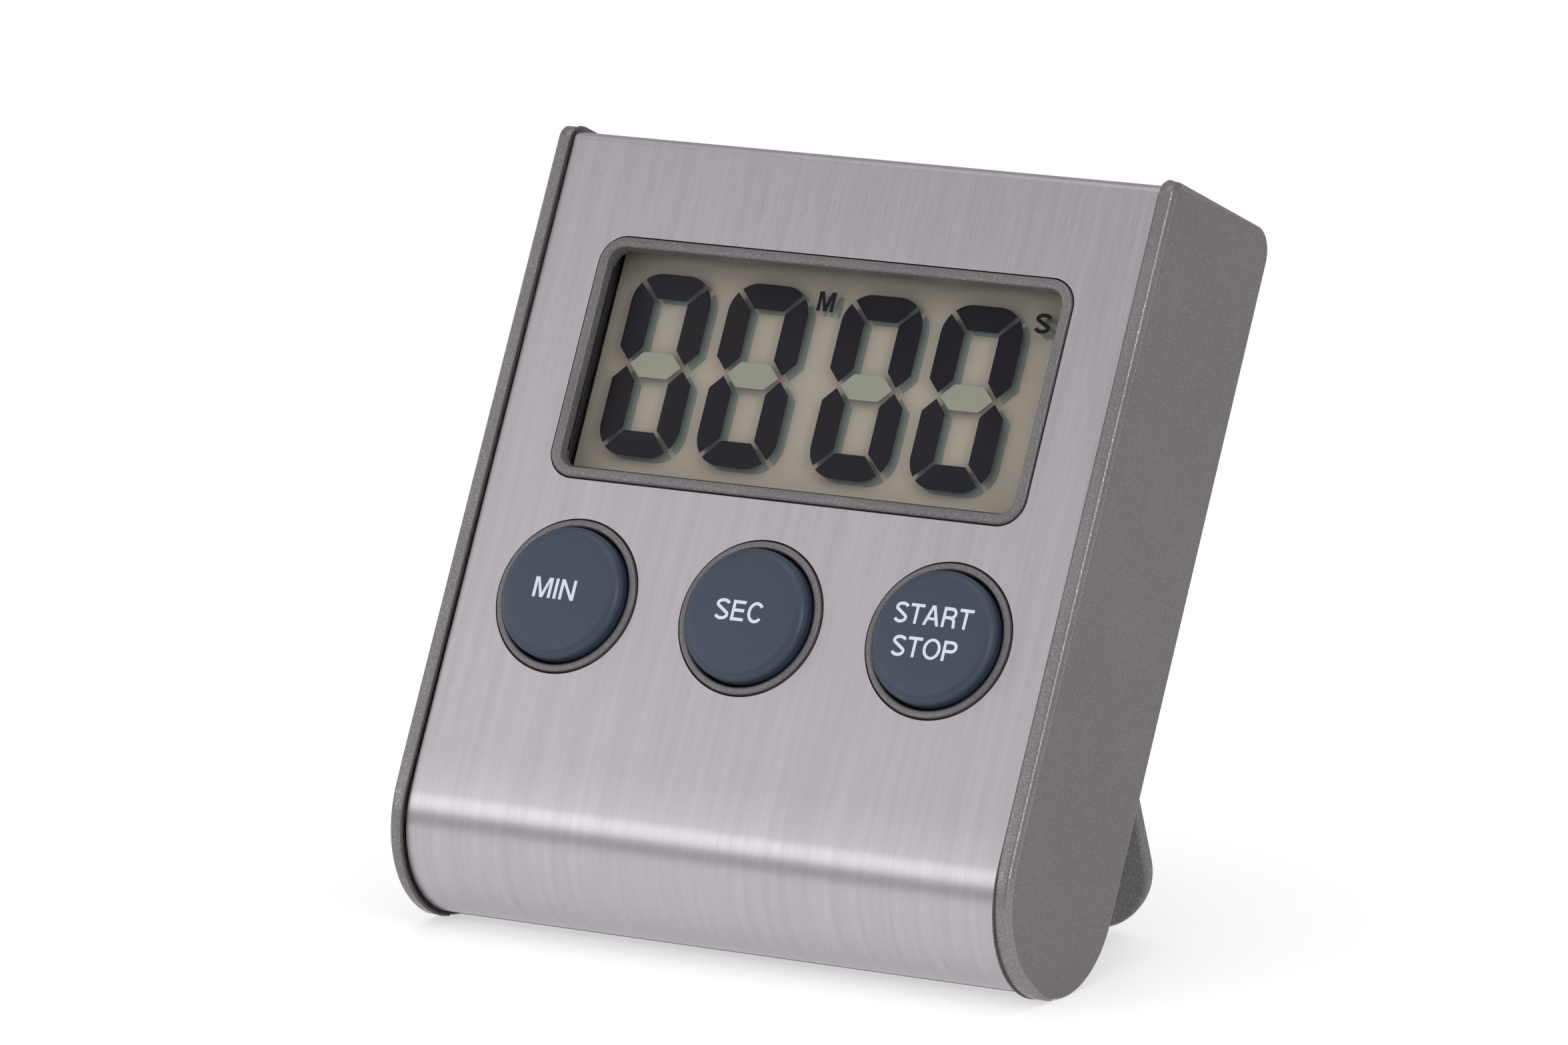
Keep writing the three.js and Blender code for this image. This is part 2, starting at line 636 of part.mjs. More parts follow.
addPart(timer, 'circuit_board', circuitBoard(), finishes.board);
addPart(timer, 'chip_blob', chipBlob(), finishes.black);
addPart(timer, 'crystal', crystal(), finishes.plated);
addPart(timer, 'sounder', sounder(), finishes.black);

for (const { name, x } of buttonPlaces()) {
  addPart(timer, `button_${name}`, button(x), finishes.button);
  addPart(timer, `switch_${name}`, tactSwitch(x), finishes.black);
}

addPart(timer, 'battery', battery(), finishes.cell);
addPart(timer, 'battery_contact', batteryContact(), finishes.plated);
addPart(timer, 'battery_spring', batterySpring(), finishes.plated);

for (const { name, x, y, head } of CASE_SCREWS) {
  const shape = screw(x, y, head, SCREW_HEAD_RADIUS, SCREW_SHANK_RADIUS, SCREW_LENGTH);
  addPart(timer, name, shape, finishes.plated);
}
addPart(timer, 'board_screw_left', boardScrew(-1), finishes.plated);
addPart(timer, 'board_screw_right', boardScrew(1), finishes.plated);
addPart(timer, 'magnet_left', magnet(-1), finishes.plated);
addPart(timer, 'magnet_right', magnet(1), finishes.plated);

const hinge = new THREE.Group();
hinge.position.set(0, HINGE.y, HINGE.z);
hinge.rotation.x = STAND_OPEN;
addPart(hinge, 'stand', stand(), finishes.darkPlastic);
timer.add(hinge);

// Lean the timer back, then centre it and set it down on the table.
timer.rotation.x = Math.PI / 2 - LEAN;
timer.updateMatrixWorld(true);
const box = new THREE.Box3().setFromObject(timer, true);
timer.position.set(-(box.min.x + box.max.x) / 2, -(box.min.y + box.max.y) / 2, -box.min.z);

const object = new THREE.Group();
object.add(timer);

export default object;
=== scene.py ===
import json
import math

import bmesh
import bpy
from mathutils import Matrix, Vector


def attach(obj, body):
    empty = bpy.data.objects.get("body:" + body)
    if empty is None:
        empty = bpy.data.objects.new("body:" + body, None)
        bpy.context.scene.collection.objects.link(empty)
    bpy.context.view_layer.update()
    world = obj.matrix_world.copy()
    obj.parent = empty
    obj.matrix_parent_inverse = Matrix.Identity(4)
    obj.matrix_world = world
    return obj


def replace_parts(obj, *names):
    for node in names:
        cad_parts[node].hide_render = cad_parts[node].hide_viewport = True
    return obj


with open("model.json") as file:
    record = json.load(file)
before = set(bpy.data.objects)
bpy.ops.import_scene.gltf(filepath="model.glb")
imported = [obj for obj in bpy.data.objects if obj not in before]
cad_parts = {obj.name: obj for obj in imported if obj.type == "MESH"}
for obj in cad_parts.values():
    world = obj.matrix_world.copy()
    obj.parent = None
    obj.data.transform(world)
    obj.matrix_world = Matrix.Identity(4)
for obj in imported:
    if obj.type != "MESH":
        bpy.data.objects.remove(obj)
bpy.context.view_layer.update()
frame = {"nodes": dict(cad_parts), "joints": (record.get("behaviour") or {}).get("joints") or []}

# Digital kitchen timer. Shapes are made in millimetres in the timer's own axes (X right, Y up the face,
# Z out of the face; Y = 0 is the axis of the rounded bottom, Z = 0 the steel's outer face) and are then
# put in place by FACE, which is read from the frame's joints.

JOINTS = {joint["name"]: joint for joint in frame["joints"]}

# ---- sizes

# Lengths are in millimetres. Names that end in STEPS count facets.
DEPTH = 18.5

# The steel sheet: its top climbs by TOP_RISE a millimetre to the rear, its face leads gently into the
# bottom bend, and SHEET_EDGE rounds its edges.
SHEET = 0.5
COVER_HALF = 29.85
COVER_END = -11.5
TOP_Y, TOP_RISE, TOP_BEND = 61.68, 0.07, 0.9
LEAD_IN, LEAD_TILT = 4.0, math.radians(2.0)
BOTTOM_BEND = 8.8
TOP_STEPS, LEAD_STEPS, BOTTOM_STEPS = 12, 5, 40
WINDOW_GAP, COLLAR_GAP = 0.14, 0.18
SHEET_EDGE = 0.06

# The end caps: a rim round the sheet, a lip below it, a slimmer rear whose arc starts REAR_LAG radians
# past the lip. The rounding of the outer edge is squashed sideways by CAP_FLATNESS.
CAP_INNER, CAP_OUTER = 30.0, 31.5
CAP_INNER_EDGE, CAP_FLATNESS = 0.12, 0.5
RIM = 0.45
CAP_LIP = ((0.05, -0.1), (0.2, -0.2))
CAP_TOP_START, CAP_REAR_START = -4, 5
CAP_FRONT_SOFT, CAP_REAR_SOFT, CAP_SOFT_FADE = 1.0, 0.2, 4
CAP_STEPS = 6
REAR_RADIUS, REAR_AXIS_Y, REAR_TOP_RADIUS = 9.0, 0.35, 2.5
REAR_LAG, REAR_STEPS = 0.06, 30
SPIGOT_GAP = 0.1

# The chassis: a bezel round the window and a collar round each button stand proud of the sheet.
WINDOW_X, WINDOW_Y0, WINDOW_Y1, WINDOW_RADIUS = 23.1, 30.75, 51.2, 1.5
PROUD = 0.3
BEZEL_WIDTH, BEZEL_FOOT, BEZEL_EDGE = 0.95, -1.2, 0.26
COLLAR_RADIUS, COLLAR_BORE, COLLAR_FOOT, COLLAR_EDGE = 6.95, 6.3, -2.5, 0.2
FRAME_FRONT, FRAME_SKIM = -0.8, 0.02

# The buttons: a crowned cap with a flange below the collar, hollow round a stem.
BUTTON_Y, BUTTON_PITCH = 19.0, 18.9
BUTTON_RADIUS, BUTTON_TOP, BUTTON_SOFT, CROWN_FALL = 6.05, 1.7, 0.85, 0.004
CROWN_STEPS, SHOULDER_STEPS = 7, 10
SHOULDER_DROP, SHOULDER_LEAN = 0.9, 0.06
FLANGE_LIP, FLANGE_TOP, FLANGE_FOOT = 0.55, -2.9, -3.4
HOLLOW_RADIUS, HOLLOW_ROOF = 4.7, -0.5
STEM_RADIUS, STEM_FOOT = 1.6, -3.5

# The flap, measured in the closed position.
HINGE_Y, HINGE_Z = 18.0, -17.2
FLAP_HALF, FLAP_CORNER, FLAP_EDGE = 28.2, 7.8, 0.4
FLAP_OUTER, FLAP_INNER = -DEPTH, -17.0
BARREL_RADIUS, PIN_RADIUS, PIN_REACH = 0.95, 0.6, 1
ROD_EDGE, ROD_STEPS = 0.12, 40

# Blocks that cut parts away span these ranges, past the timer.
PAST_X, PAST_Y, PAST_Z, PAST_FRONT = (-40, 40), (-20, 80), (-40, 20), 5
CUT_BACK, CUT_FRONT = -3, 2

# Points closer than this are welded: WELD in millimetres, CAD_WELD in metres.
WELD, CAD_WELD = 1e-5, 2e-6
FLAT_DEGREES, EDGE_DEGREES = 1.5, 40


def face_matrix():
    """Millimetres in the timer's axes to metres in the row frame."""
    out = -Vector(JOINTS["battery_door_lift"]["axis"]).normalized()
    right = Vector((1, 0, 0))
    up = out.cross(right)
    hinge = Vector(JOINTS["stand_hinge"]["pos_m"])
    origin = hinge - (up * HINGE_Y + out * HINGE_Z) / 1000
    turn = Matrix((right, up, out)).transposed().to_4x4()
    return Matrix.Translation(origin) @ turn @ Matrix.Scale(0.001, 4)


FACE = face_matrix()
OPEN_ANGLE = math.radians(-JOINTS["stand_hinge"]["range_deg"][0])
STAND_FACE = FACE @ Matrix.Translation((0, HINGE_Y, HINGE_Z)) @ Matrix.Rotation(OPEN_ANGLE, 4, "X")


# ---- mesh helpers

def clamp(value):
    return max(0.0, min(1.0, value))


def raw_object(name, vertices, faces):
    mesh = bpy.data.meshes.new(name)
    mesh.from_pydata([tuple(v) for v in vertices], [], faces)
    shape = bmesh.new()
    shape.from_mesh(mesh)
    bmesh.ops.remove_doubles(shape, verts=shape.verts, dist=WELD)
    bmesh.ops.recalc_face_normals(shape, faces=shape.faces)
    shape.to_mesh(mesh)
    shape.free()
    obj = bpy.data.objects.new(name, mesh)
    bpy.context.scene.collection.objects.link(obj)
    return obj


def bake(obj):
    """Applies the modifiers."""
    graph = bpy.context.evaluated_depsgraph_get()
    mesh = bpy.data.meshes.new_from_object(obj.evaluated_get(graph))
    old = obj.data
    obj.modifiers.clear()
    obj.data = mesh
    bpy.data.meshes.remove(old)


def combine(obj, operation, others):
    """Cuts the others from obj (DIFFERENCE) or joins them to it (UNION), and uses them up."""
    for other in others:
        modifier = obj.modifiers.new("combine", "BOOLEAN")
        modifier.operation = operation
        modifier.solver = "EXACT"
        modifier.object = other
        bake(obj)
        bpy.data.objects.remove(other)


def soften(obj, width):
    """Rounds every edge that turns by more than EDGE_DEGREES."""
    bevel = obj.modifiers.new("edge", "BEVEL")
    bevel.width = width
    bevel.segments = 2
    bevel.limit_method = "ANGLE"
    bevel.angle_limit = math.radians(EDGE_DEGREES)
    bevel.miter_outer = "MITER_ARC"
    bake(obj)


def place(obj, material, body, matrix=FACE, crease=35, weighted=False):
    """Moves a finished shape from millimetres to its place, shades it and hangs it on its body."""
    obj.data.transform(matrix)
    obj.data.shade_smooth()
    obj.data.set_sharp_from_angle(angle=math.radians(crease))
    if weighted:
        modifier = obj.modifiers.new("flat faces", "WEIGHTED_NORMAL")
        modifier.keep_sharp = True
        modifier.weight = 100
        bake(obj)
    obj.data.materials.clear()
    obj.data.materials.append(material)
    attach(obj, body)


def rounded(corners, radii, step=0.3):
    """Corner points with a radius at each become a smooth outline of 2-D points."""
    points = []
    count = len(corners)
    for i, corner in enumerate(corners):
        corner = Vector(corner)
        radius = radii[i] if isinstance(radii, (list, tuple)) else radii
        if radius == 0:
            points.append(corner)
            continue
        before = (Vector(corners[i - 1]) - corner).normalized()
        after = (Vector(corners[(i + 1) % count]) - corner).normalized()
        half = before.angle(after) / 2
        centre = corner + (before + after).normalized() * (radius / math.sin(half))
        start = corner + before * (radius / math.tan(half)) - centre
        end = corner + after * (radius / math.tan(half)) - centre
        turn = math.atan2(start.x * end.y - start.y * end.x, start.dot(end))
        steps = max(4, math.ceil(abs(turn) * radius / step))
        for k in range(steps + 1):
            points.append(centre + Matrix.Rotation(turn * k / steps, 2) @ start)
    return points


def inset(points, distance):
    """Moves a closed anticlockwise outline inward, by one distance or by one for each point."""
    moved = []
    count = len(points)
    distances = distance if isinstance(distance, list) else [distance] * count
    for i, point in enumerate(points):
        before = (point - points[i - 1]).normalized()
        after = (points[(i + 1) % count] - point).normalized()
        normal = Vector((-(before.y + after.y), before.x + after.x)).normalized()
        lean = max(0.35, normal.dot(Vector((-before.y, before.x))))
        moved.append(point + normal * (distances[i] / lean))
    return moved


def anticlockwise(points):
    area = sum(a.x * b.y - b.x * a.y for a, b in zip(points, points[1:] + points[:1]))
    return points if area > 0 else points[::-1]


def loft(name, rings):
    """Skins a stack of equal rings and closes both ends."""
    count = len(rings[0])
    vertices = [v for ring in rings for v in ring]
    faces = []
    for level in range(len(rings) - 1):
        base = level * count
        for i in range(count):
            j = (i + 1) % count
            faces.append((base + i, base + j, base + count + j, base + count + i))
    faces.append(tuple(range(count))[::-1])
    faces.append(tuple(range((len(rings) - 1) * count, len(rings) * count)))
    return raw_object(name, vertices, faces)


def slab(name, outline, z0, z1):
    """A plate of one outline."""
    outline = anticlockwise([Vector(p) for p in outline])
    return loft(name, [[(p.x, p.y, z) for p in outline] for z in (z0, z1)])


def rectangle(x0, x1, y0, y1):
    return [(x0, y0), (x1, y0), (x1, y1), (x0, y1)]


def turned(name, profile, x, y, segments=112):
    """Profile points (radius, z), first and last on the axis, turned about an axis out of the face."""
    vertices = [(x, y, profile[0][1])]
    for radius, z in profile[1:-1]:
        for k in range(segments):
            angle = 2 * math.pi * k / segments
            vertices.append((x + radius * math.cos(angle), y + radius * math.sin(angle), z))
    vertices.append((x, y, profile[-1][1]))
    last = len(vertices) - 1
    rows = len(profile) - 2
    faces = []
    for k in range(segments):
        j = (k + 1) % segments
        faces.append((0, 1 + j, 1 + k))
        for row in range(rows - 1):
            a = 1 + row * segments
            b = a + segments
            faces.append((a + k, a + j, b + j, b + k))
        top = 1 + (rows - 1) * segments
        faces.append((last, top + k, top + j))
    return raw_object(name, vertices, faces)


def ring_sweep(name, path, profile):
    """A closed section (outward offset, z) carried round a closed path of (point, outward normal)."""
    count, width = len(path), len(profile)
    vertices = []
    for point, normal in path:
        for offset, z in profile:
            spot = point + normal * offset
            vertices.append((spot.x, spot.y, z))
    faces = []
    for i in range(count):
        for j in range(width):
            a, b = i * width, ((i + 1) % count) * width
            k = (j + 1) % width
            faces.append((a + j, b + j, b + k, a + k))
    return raw_object(name, vertices, faces)


def corner_path(x0, x1, y0, y1, radius, steps=14):
    path = []
    centres = [(x1 - radius, y0 + radius, -90), (x1 - radius, y1 - radius, 0),
               (x0 + radius, y1 - radius, 90), (x0 + radius, y0 + radius, 180)]
    for cx, cy, start in centres:
        for k in range(steps + 1):
            angle = math.radians(start + 90 * k / steps)
            normal = Vector((math.cos(angle), math.sin(angle)))
            path.append((Vector((cx, cy)) + normal * radius, normal))
    return path


def circle_path(x, y, radius, steps=120):
    path = []
    for k in range(steps):
        angle = 2 * math.pi * k / steps
        normal = Vector((math.cos(angle), math.sin(angle)))
        path.append((Vector((x, y)) + normal * radius, normal))
    return path


# ---- material helpers

class Shader:
    """A material with a Principled shader and short calls for the nodes it needs.

    color and roughness are the plain values, which hold wherever no node is linked.
    """

    def __init__(self, name, color, roughness, metallic=0.0, **constants):
        self.material = bpy.data.materials.new(name)
        self.material.use_nodes = True
        self.tree = self.material.node_tree
        self.shader = self.tree.nodes["Principled BSDF"]
        self.shader.inputs["Base Color"].default_value = (*color, 1)
        self.shader.inputs["Roughness"].default_value = roughness
        self.shader.inputs["Metallic"].default_value = metallic
        for socket, value in constants.items():
            self.shader.inputs[socket.replace("_", " ")].default_value = value

    def node(self, kind, **settings):
        node = self.tree.nodes.new(kind)
        for key, value in settings.items():
            if key in node.inputs:
                node.inputs[key].default_value = value
            else:
                setattr(node, key, value)
        return node

    def link(self, source, target):
        self.tree.links.new(source, target)

    def coordinates(self, scale, kind="Object"):
        source = self.node("ShaderNodeTexCoord").outputs[kind]
        mapping = self.node("ShaderNodeMapping")
        mapping.inputs["Scale"].default_value = scale
        self.link(source, mapping.inputs["Vector"])
        return mapping.outputs["Vector"]

    def noise(self, scale, detail=3.0, roughness=0.55, kind="Object"):
        """scale is in waves per metre on Object coordinates, or per unit on UV."""
        texture = self.node("ShaderNodeTexNoise")
        texture.inputs["Scale"].default_value = 1
        texture.inputs["Detail"].default_value = detail
        texture.inputs["Roughness"].default_value = roughness
        self.link(self.coordinates(scale, kind), texture.inputs["Vector"])
        return texture.outputs["Fac"]

    def ramp(self, value, low, high, start, end):
        """Maps value from start..end onto low..high, held at both ends."""
        node = self.node("ShaderNodeMapRange")
        node.inputs["From Min"].default_value = start
        node.inputs["From Max"].default_value = end
        node.inputs["To Min"].default_value = low
        node.inputs["To Max"].default_value = high
        self.link(value, node.inputs["Value"])
        return node.outputs["Result"]

    def blend(self, factor, first, second):
        node = self.node("ShaderNodeMix", data_type="RGBA")
        for socket, value in ((node.inputs[6], first), (node.inputs[7], second)):
            if isinstance(value, tuple):
                socket.default_value = (*value, 1)
            else:
                self.link(value, socket)
        self.link(factor, node.inputs[0])
        return node.outputs[2]

    def math(self, operation, first, second):
        node = self.node("ShaderNodeMath", operation=operation)
        for socket, value in zip(node.inputs, (first, second)):
            if isinstance(value, (int, float)):
                socket.default_value = value
            else:
                self.link(value, socket)
        return node.outputs[0]

    def color(self, output):
        self.link(output, self.shader.inputs["Base Color"])

    def rough(self, output):
        self.link(output, self.shader.inputs["Roughness"])

    def bump(self, height, distance, strength=1.0):
        node = self.node("ShaderNodeBump")
        node.inputs["Strength"].default_value = strength
        node.inputs["Distance"].default_value = distance
        self.link(height, node.inputs["Height"])
        self.link(node.outputs["Normal"], self.shader.inputs["Normal"])


def brushed_steel():
    """Grain runs up the face: fine across U, long along V (both in millimetres)."""
    steel = Shader("brushed steel", (0.5, 0.48, 0.5), 0.3, 1.0, Anisotropic=0.6)
    fine = steel.noise((9.0, 0.16, 1.0), 6.0, 0.65, "UV")
    broad = steel.noise((1.1, 0.035, 1.0), 3.0, 0.6, "UV")
    hair = steel.noise((26.0, 0.5, 1.0), 3.0, 0.6, "UV")
    grain = steel.math("ADD", steel.math("MULTIPLY", fine, 0.6), steel.math("MULTIPLY", hair, 0.4))
    tone = steel.math("ADD", steel.math("MULTIPLY", grain, 0.6), steel.math("MULTIPLY", broad, 0.4))
    streak = steel.ramp(tone, 0.0, 1.0, 0.35, 0.65)
    steel.color(steel.blend(streak, (0.400, 0.370, 0.399), (0.490, 0.460, 0.492)))
    steel.rough(steel.ramp(grain, 0.24, 0.38, 0.35, 0.65))
    steel.bump(grain, 0.0000015, 0.5)
    tangent = steel.node("ShaderNodeTangent", direction_type="UV_MAP", uv_map="grain")
    steel.link(tangent.outputs["Tangent"], steel.shader.inputs["Tangent"])
    return steel.material


def textured_plastic(name, color, bright, roughness, grain, depth, metallic=0.25):
    """Moulded plastic with a fine cast texture and pale flecks. grain is in millimetres, depth in metres."""
    plastic = Shader(name, color, roughness, metallic)
    waves = 1000 / grain
    finer = waves * 2.1
    coarse = plastic.noise((waves, waves, waves), 2.0, 0.6)
    fleck = plastic.noise((finer, finer, finer), 1.0, 0.5)
    cloud = plastic.noise((90, 90, 90), 2.0, 0.5)
    flecks = plastic.ramp(fleck, 0.0, 0.75, 0.5, 0.74)
    clouds = plastic.ramp(cloud, 0.0, 0.2, 0.3, 0.7)
    tone = plastic.math("ADD", flecks, clouds)
    plastic.color(plastic.blend(tone, color, bright))
    plastic.rough(plastic.ramp(fleck, roughness + 0.08, roughness - 0.1, 0.35, 0.7))
    plastic.bump(coarse, depth)
    return plastic.material


def button_plastic():
    plastic = Shader("button plastic", (0.06, 0.08, 0.11), 0.42, 0.0, Specular_IOR_Level=0.5)
    cloud = plastic.noise((260, 260, 260), 3.0, 0.5)
    grain = plastic.noise((5200, 5200, 5200), 2.0, 0.5)
    mixed = plastic.math("ADD", plastic.math("MULTIPLY", cloud, 0.6), plastic.math("MULTIPLY", grain, 0.4))
    plastic.color(plastic.blend(mixed, (0.021, 0.035, 0.060), (0.030, 0.046, 0.076)))
    plastic.rough(plastic.ramp(cloud, 0.36, 0.5, 0.3, 0.7))
    plastic.bump(grain, 0.000006)
    return plastic.material


def label_paint():
    paint = Shader("label paint", (0.62, 0.68, 0.76), 0.5)
    wear = paint.noise((3000, 3000, 3000), 3.0, 0.6)
    paint.color(paint.blend(wear, (0.56, 0.62, 0.70), (0.72, 0.77, 0.84)))
    paint.bump(wear, 0.000004)
    return paint.material


def clear_pane(name, tint, haze):
    """A clear pane that lets light straight through and mirrors a little at its surface."""
    pane = Shader(name, tint, haze)
    tree = pane.tree
    clear = pane.node("ShaderNodeBsdfTransparent")
    clear.inputs["Color"].default_value = (*tint, 1)
    gloss = pane.node("ShaderNodeBsdfGlossy")
    gloss.inputs["Roughness"].default_value = haze
    fresnel = pane.node("ShaderNodeFresnel")
    fresnel.inputs["IOR"].default_value = 1.11
    smudge = pane.noise((120, 120, 120), 3.0, 0.5)
    share = pane.math("MULTIPLY", fresnel.outputs[0], pane.ramp(smudge, 0.8, 1.2, 0.3, 0.7))
    mix = pane.node("ShaderNodeMixShader")
    pane.link(share, mix.inputs[0])
    pane.link(clear.outputs[0], mix.inputs[1])
    pane.link(gloss.outputs[0], mix.inputs[2])
    pane.link(mix.outputs[0], tree.nodes["Material Output"].inputs["Surface"])
    tree.nodes.remove(pane.shader)
    return pane.material


def lcd_backing():
    backing = Shader("display backing", (0.4, 0.37, 0.31), 0.6)
    speck = backing.noise((4200, 4200, 4200), 2.0, 0.6)
    cloud = backing.noise((60, 60, 60), 2.0, 0.5)
    tone = backing.math("ADD", backing.math("MULTIPLY", speck, 0.6), backing.math("MULTIPLY", cloud, 0.4))
    mottle = backing.ramp(tone, 0.0, 1.0, 0.3, 0.7)
    backing.color(backing.blend(mottle, (0.565, 0.505, 0.425), (0.625, 0.56, 0.47)))
    backing.bump(speck, 0.000003)
    return backing.material


def lcd_ink():
    ink = Shader("display segments", (0.004, 0.003, 0.008), 0.4, Specular_IOR_Level=0.15)
    cloud = ink.noise((180, 180, 180), 2.0, 0.5)
    ink.color(ink.blend(ink.ramp(cloud, 0.0, 1.0, 0.35, 0.65), (0.004, 0.003, 0.010), (0.008, 0.004, 0.009)))
    return ink.material


def lcd_faint():
    """The unlit middle bars: a shade greener than the reflector behind them."""
    film = Shader("unlit segments", (0.34, 0.35, 0.29), 0.6, Specular_IOR_Level=0.2)
    cloud = film.noise((900, 900, 900), 2.0, 0.5)
    film.color(film.blend(cloud, (0.330, 0.340, 0.280), (0.358, 0.368, 0.303)))
    return film.material


def lcd_shade():
    """The blue-green edge each lit segment shows where its shadow falls on the reflector."""
    film = Shader("segment shade", (0.32, 0.38, 0.36), 0.7, Specular_IOR_Level=0.2)
    cloud = film.noise((700, 700, 700), 2.0, 0.5)
    film.color(film.blend(cloud, (0.30, 0.36, 0.345), (0.34, 0.40, 0.385)))
    return film.material


def plain_finish(name, dark, light, roughness, metallic=0.0, grain=0.5, depth=0.000004):
    """A small-part finish: two close tones, a little grain, uneven gloss. depth is in metres."""
    part = Shader(name, dark, roughness, metallic)
    waves = 1000 / grain
    speck = part.noise((waves, waves, waves), 3.0, 0.55)
    part.color(part.blend(speck, dark, light))
    part.rough(part.ramp(speck, roughness - 0.05, roughness + 0.08, 0.35, 0.65))
    part.bump(speck, depth)
    return part.material


# ---- steel cover

def top_at(z):
    return TOP_Y - TOP_RISE * z


def side_profile(grow):
    """The sheet's outer surface moved out by grow, as (point, normal) pairs in (Y, Z).

    They run from the top's rear end, down the face, to the end under the bottom.
    """
    tilt = math.atan(TOP_RISE)
    rear_end = Vector((top_at(COVER_END) + grow, COVER_END))
    pairs = [(rear_end, Vector((math.cos(tilt), math.sin(tilt))))]
    radius = TOP_BEND + grow
    centre = Vector((TOP_Y - TOP_BEND, -TOP_BEND))
    for k in range(TOP_STEPS + 1):
        angle = (math.pi / 2 - tilt) * (1 - k / TOP_STEPS)
        normal = Vector((math.sin(angle), math.cos(angle)))
        pairs.append((centre + normal * radius, normal))
    lead_radius = LEAD_IN / math.sin(LEAD_TILT)
    centre = Vector((LEAD_IN, -lead_radius))
    for k in range(LEAD_STEPS + 1):
        angle = -LEAD_TILT * k / LEAD_STEPS
        normal = Vector((math.sin(angle), math.cos(angle)))
        pairs.append((centre + normal * (lead_radius + grow), normal))
    last, normal = pairs[-1]
    radius = BOTTOM_BEND + grow
    centre = last - normal * radius
    stop = math.pi - math.acos((centre.y - COVER_END) / radius)
    for k in range(1, BOTTOM_STEPS + 1):
        angle = -LEAD_TILT - (stop - LEAD_TILT) * k / BOTTOM_STEPS
        normal = Vector((math.sin(angle), math.cos(angle)))
        pairs.append((centre + normal * radius, normal))
    return pairs


def arc_length_map():
    """Distance down the outer surface at each profile point, for the grain's V."""
    pairs = side_profile(0)
    lengths = [0.0]
    for (a, _), (b, _) in zip(pairs, pairs[1:]):
        lengths.append(lengths[-1] + (b - a).length)
    return [point for point, _ in pairs], lengths


def grain_uv(obj):
    """U across the timer and V down its surface, in millimetres."""
    points, lengths = arc_length_map()
    layer = obj.data.uv_layers.new(name="grain")

    def down(y, z):
        best = None
        for i in range(len(points) - 1):
            a, b = points[i], points[i + 1]
            along = b - a
            share = clamp((Vector((y, z)) - a).dot(along) / along.length_squared)
            gap = (a + along * share - Vector((y, z))).length
            if best is None or gap < best[0]:
                best = (gap, lengths[i] + (lengths[i + 1] - lengths[i]) * share)
        return best[1]

    cache = {}
    for loop in obj.data.loops:
        index = loop.vertex_index
        if index not in cache:
            x, y, z = obj.data.vertices[index].co
            cache[index] = (x, down(y, z))
        layer.data[loop.index].uv = cache[index]


def button_places():
    return (("minutes", -BUTTON_PITCH), ("seconds", 0.0), ("start_stop", BUTTON_PITCH))


def cover():
    """The bent sheet, with openings for the bezel and the three collars."""
    outer = side_profile(0)
    inner = [point - normal * SHEET for point, normal in outer]
    section = [point for point, _ in outer] + inner[::-1]
    ends = [[(x, p.x, p.y) for p in section] for x in (-COVER_HALF, COVER_HALF)]
    sheet = loft("front_cover_sheet", ends)
    opening = rectangle(
        -WINDOW_X - BEZEL_WIDTH - WINDOW_GAP, WINDOW_X + BEZEL_WIDTH + WINDOW_GAP,
        WINDOW_Y0 - BEZEL_WIDTH - WINDOW_GAP, WINDOW_Y1 + BEZEL_WIDTH + WINDOW_GAP,
    )
    corner = WINDOW_RADIUS + BEZEL_WIDTH + WINDOW_GAP
    cutters = [slab("cutter", rounded(opening, corner), CUT_BACK, CUT_FRONT)]
    radius = COLLAR_RADIUS + COLLAR_GAP
    hole = [(0, CUT_BACK), (radius, CUT_BACK), (radius, CUT_FRONT), (0, CUT_FRONT)]
    cutters += [turned("cutter", hole, x, BUTTON_Y) for _, x in button_places()]
    combine(sheet, "DIFFERENCE", cutters)
    soften(sheet, SHEET_EDGE)
    grain_uv(sheet)
    place(sheet, STEEL, "case", weighted=True)
    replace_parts(sheet, "front_cover")


# ---- end caps

def cap_outline():
    """The cap's side outline: the rim round the cover, a step under the bottom, then the slimmer rear."""
    front = [point for point, _ in side_profile(RIM)][1:]
    step = front[-1]
    lip = [step + Vector(offset) for offset in CAP_LIP]
    centre = Vector((REAR_AXIS_Y, -DEPTH + REAR_RADIUS))
    begin = math.asin((centre.y - COVER_END) / REAR_RADIUS) + REAR_LAG
    arc = []
    for k in range(REAR_STEPS + 1):
        angle = math.pi + begin + (math.pi / 2 - begin) * k / REAR_STEPS
        arc.append(centre + Vector((math.cos(angle), math.sin(angle))) * REAR_RADIUS)
    corners = [
        (top_at(CAP_TOP_START) + RIM, CAP_TOP_START),
        (top_at(-DEPTH) + RIM, -DEPTH),
        (CAP_REAR_START, -DEPTH),
    ]
    rear_top = rounded(corners, [0, REAR_TOP_RADIUS, 0])[1:-1]
    return anticlockwise(front + lip + arc + rear_top[::-1])


def cap_softness(outline):
    """The outer edge is well rounded round the front and crisp at the top and rear."""
    top_strip = TOP_Y - 1
    amounts = []
    for point in outline:
        fade_end = CAP_TOP_START if point.x > top_strip else COVER_END
        share = clamp((point.y - fade_end) / CAP_SOFT_FADE)
        amounts.append(CAP_REAR_SOFT + (CAP_FRONT_SOFT - CAP_REAR_SOFT) * share)
    return amounts


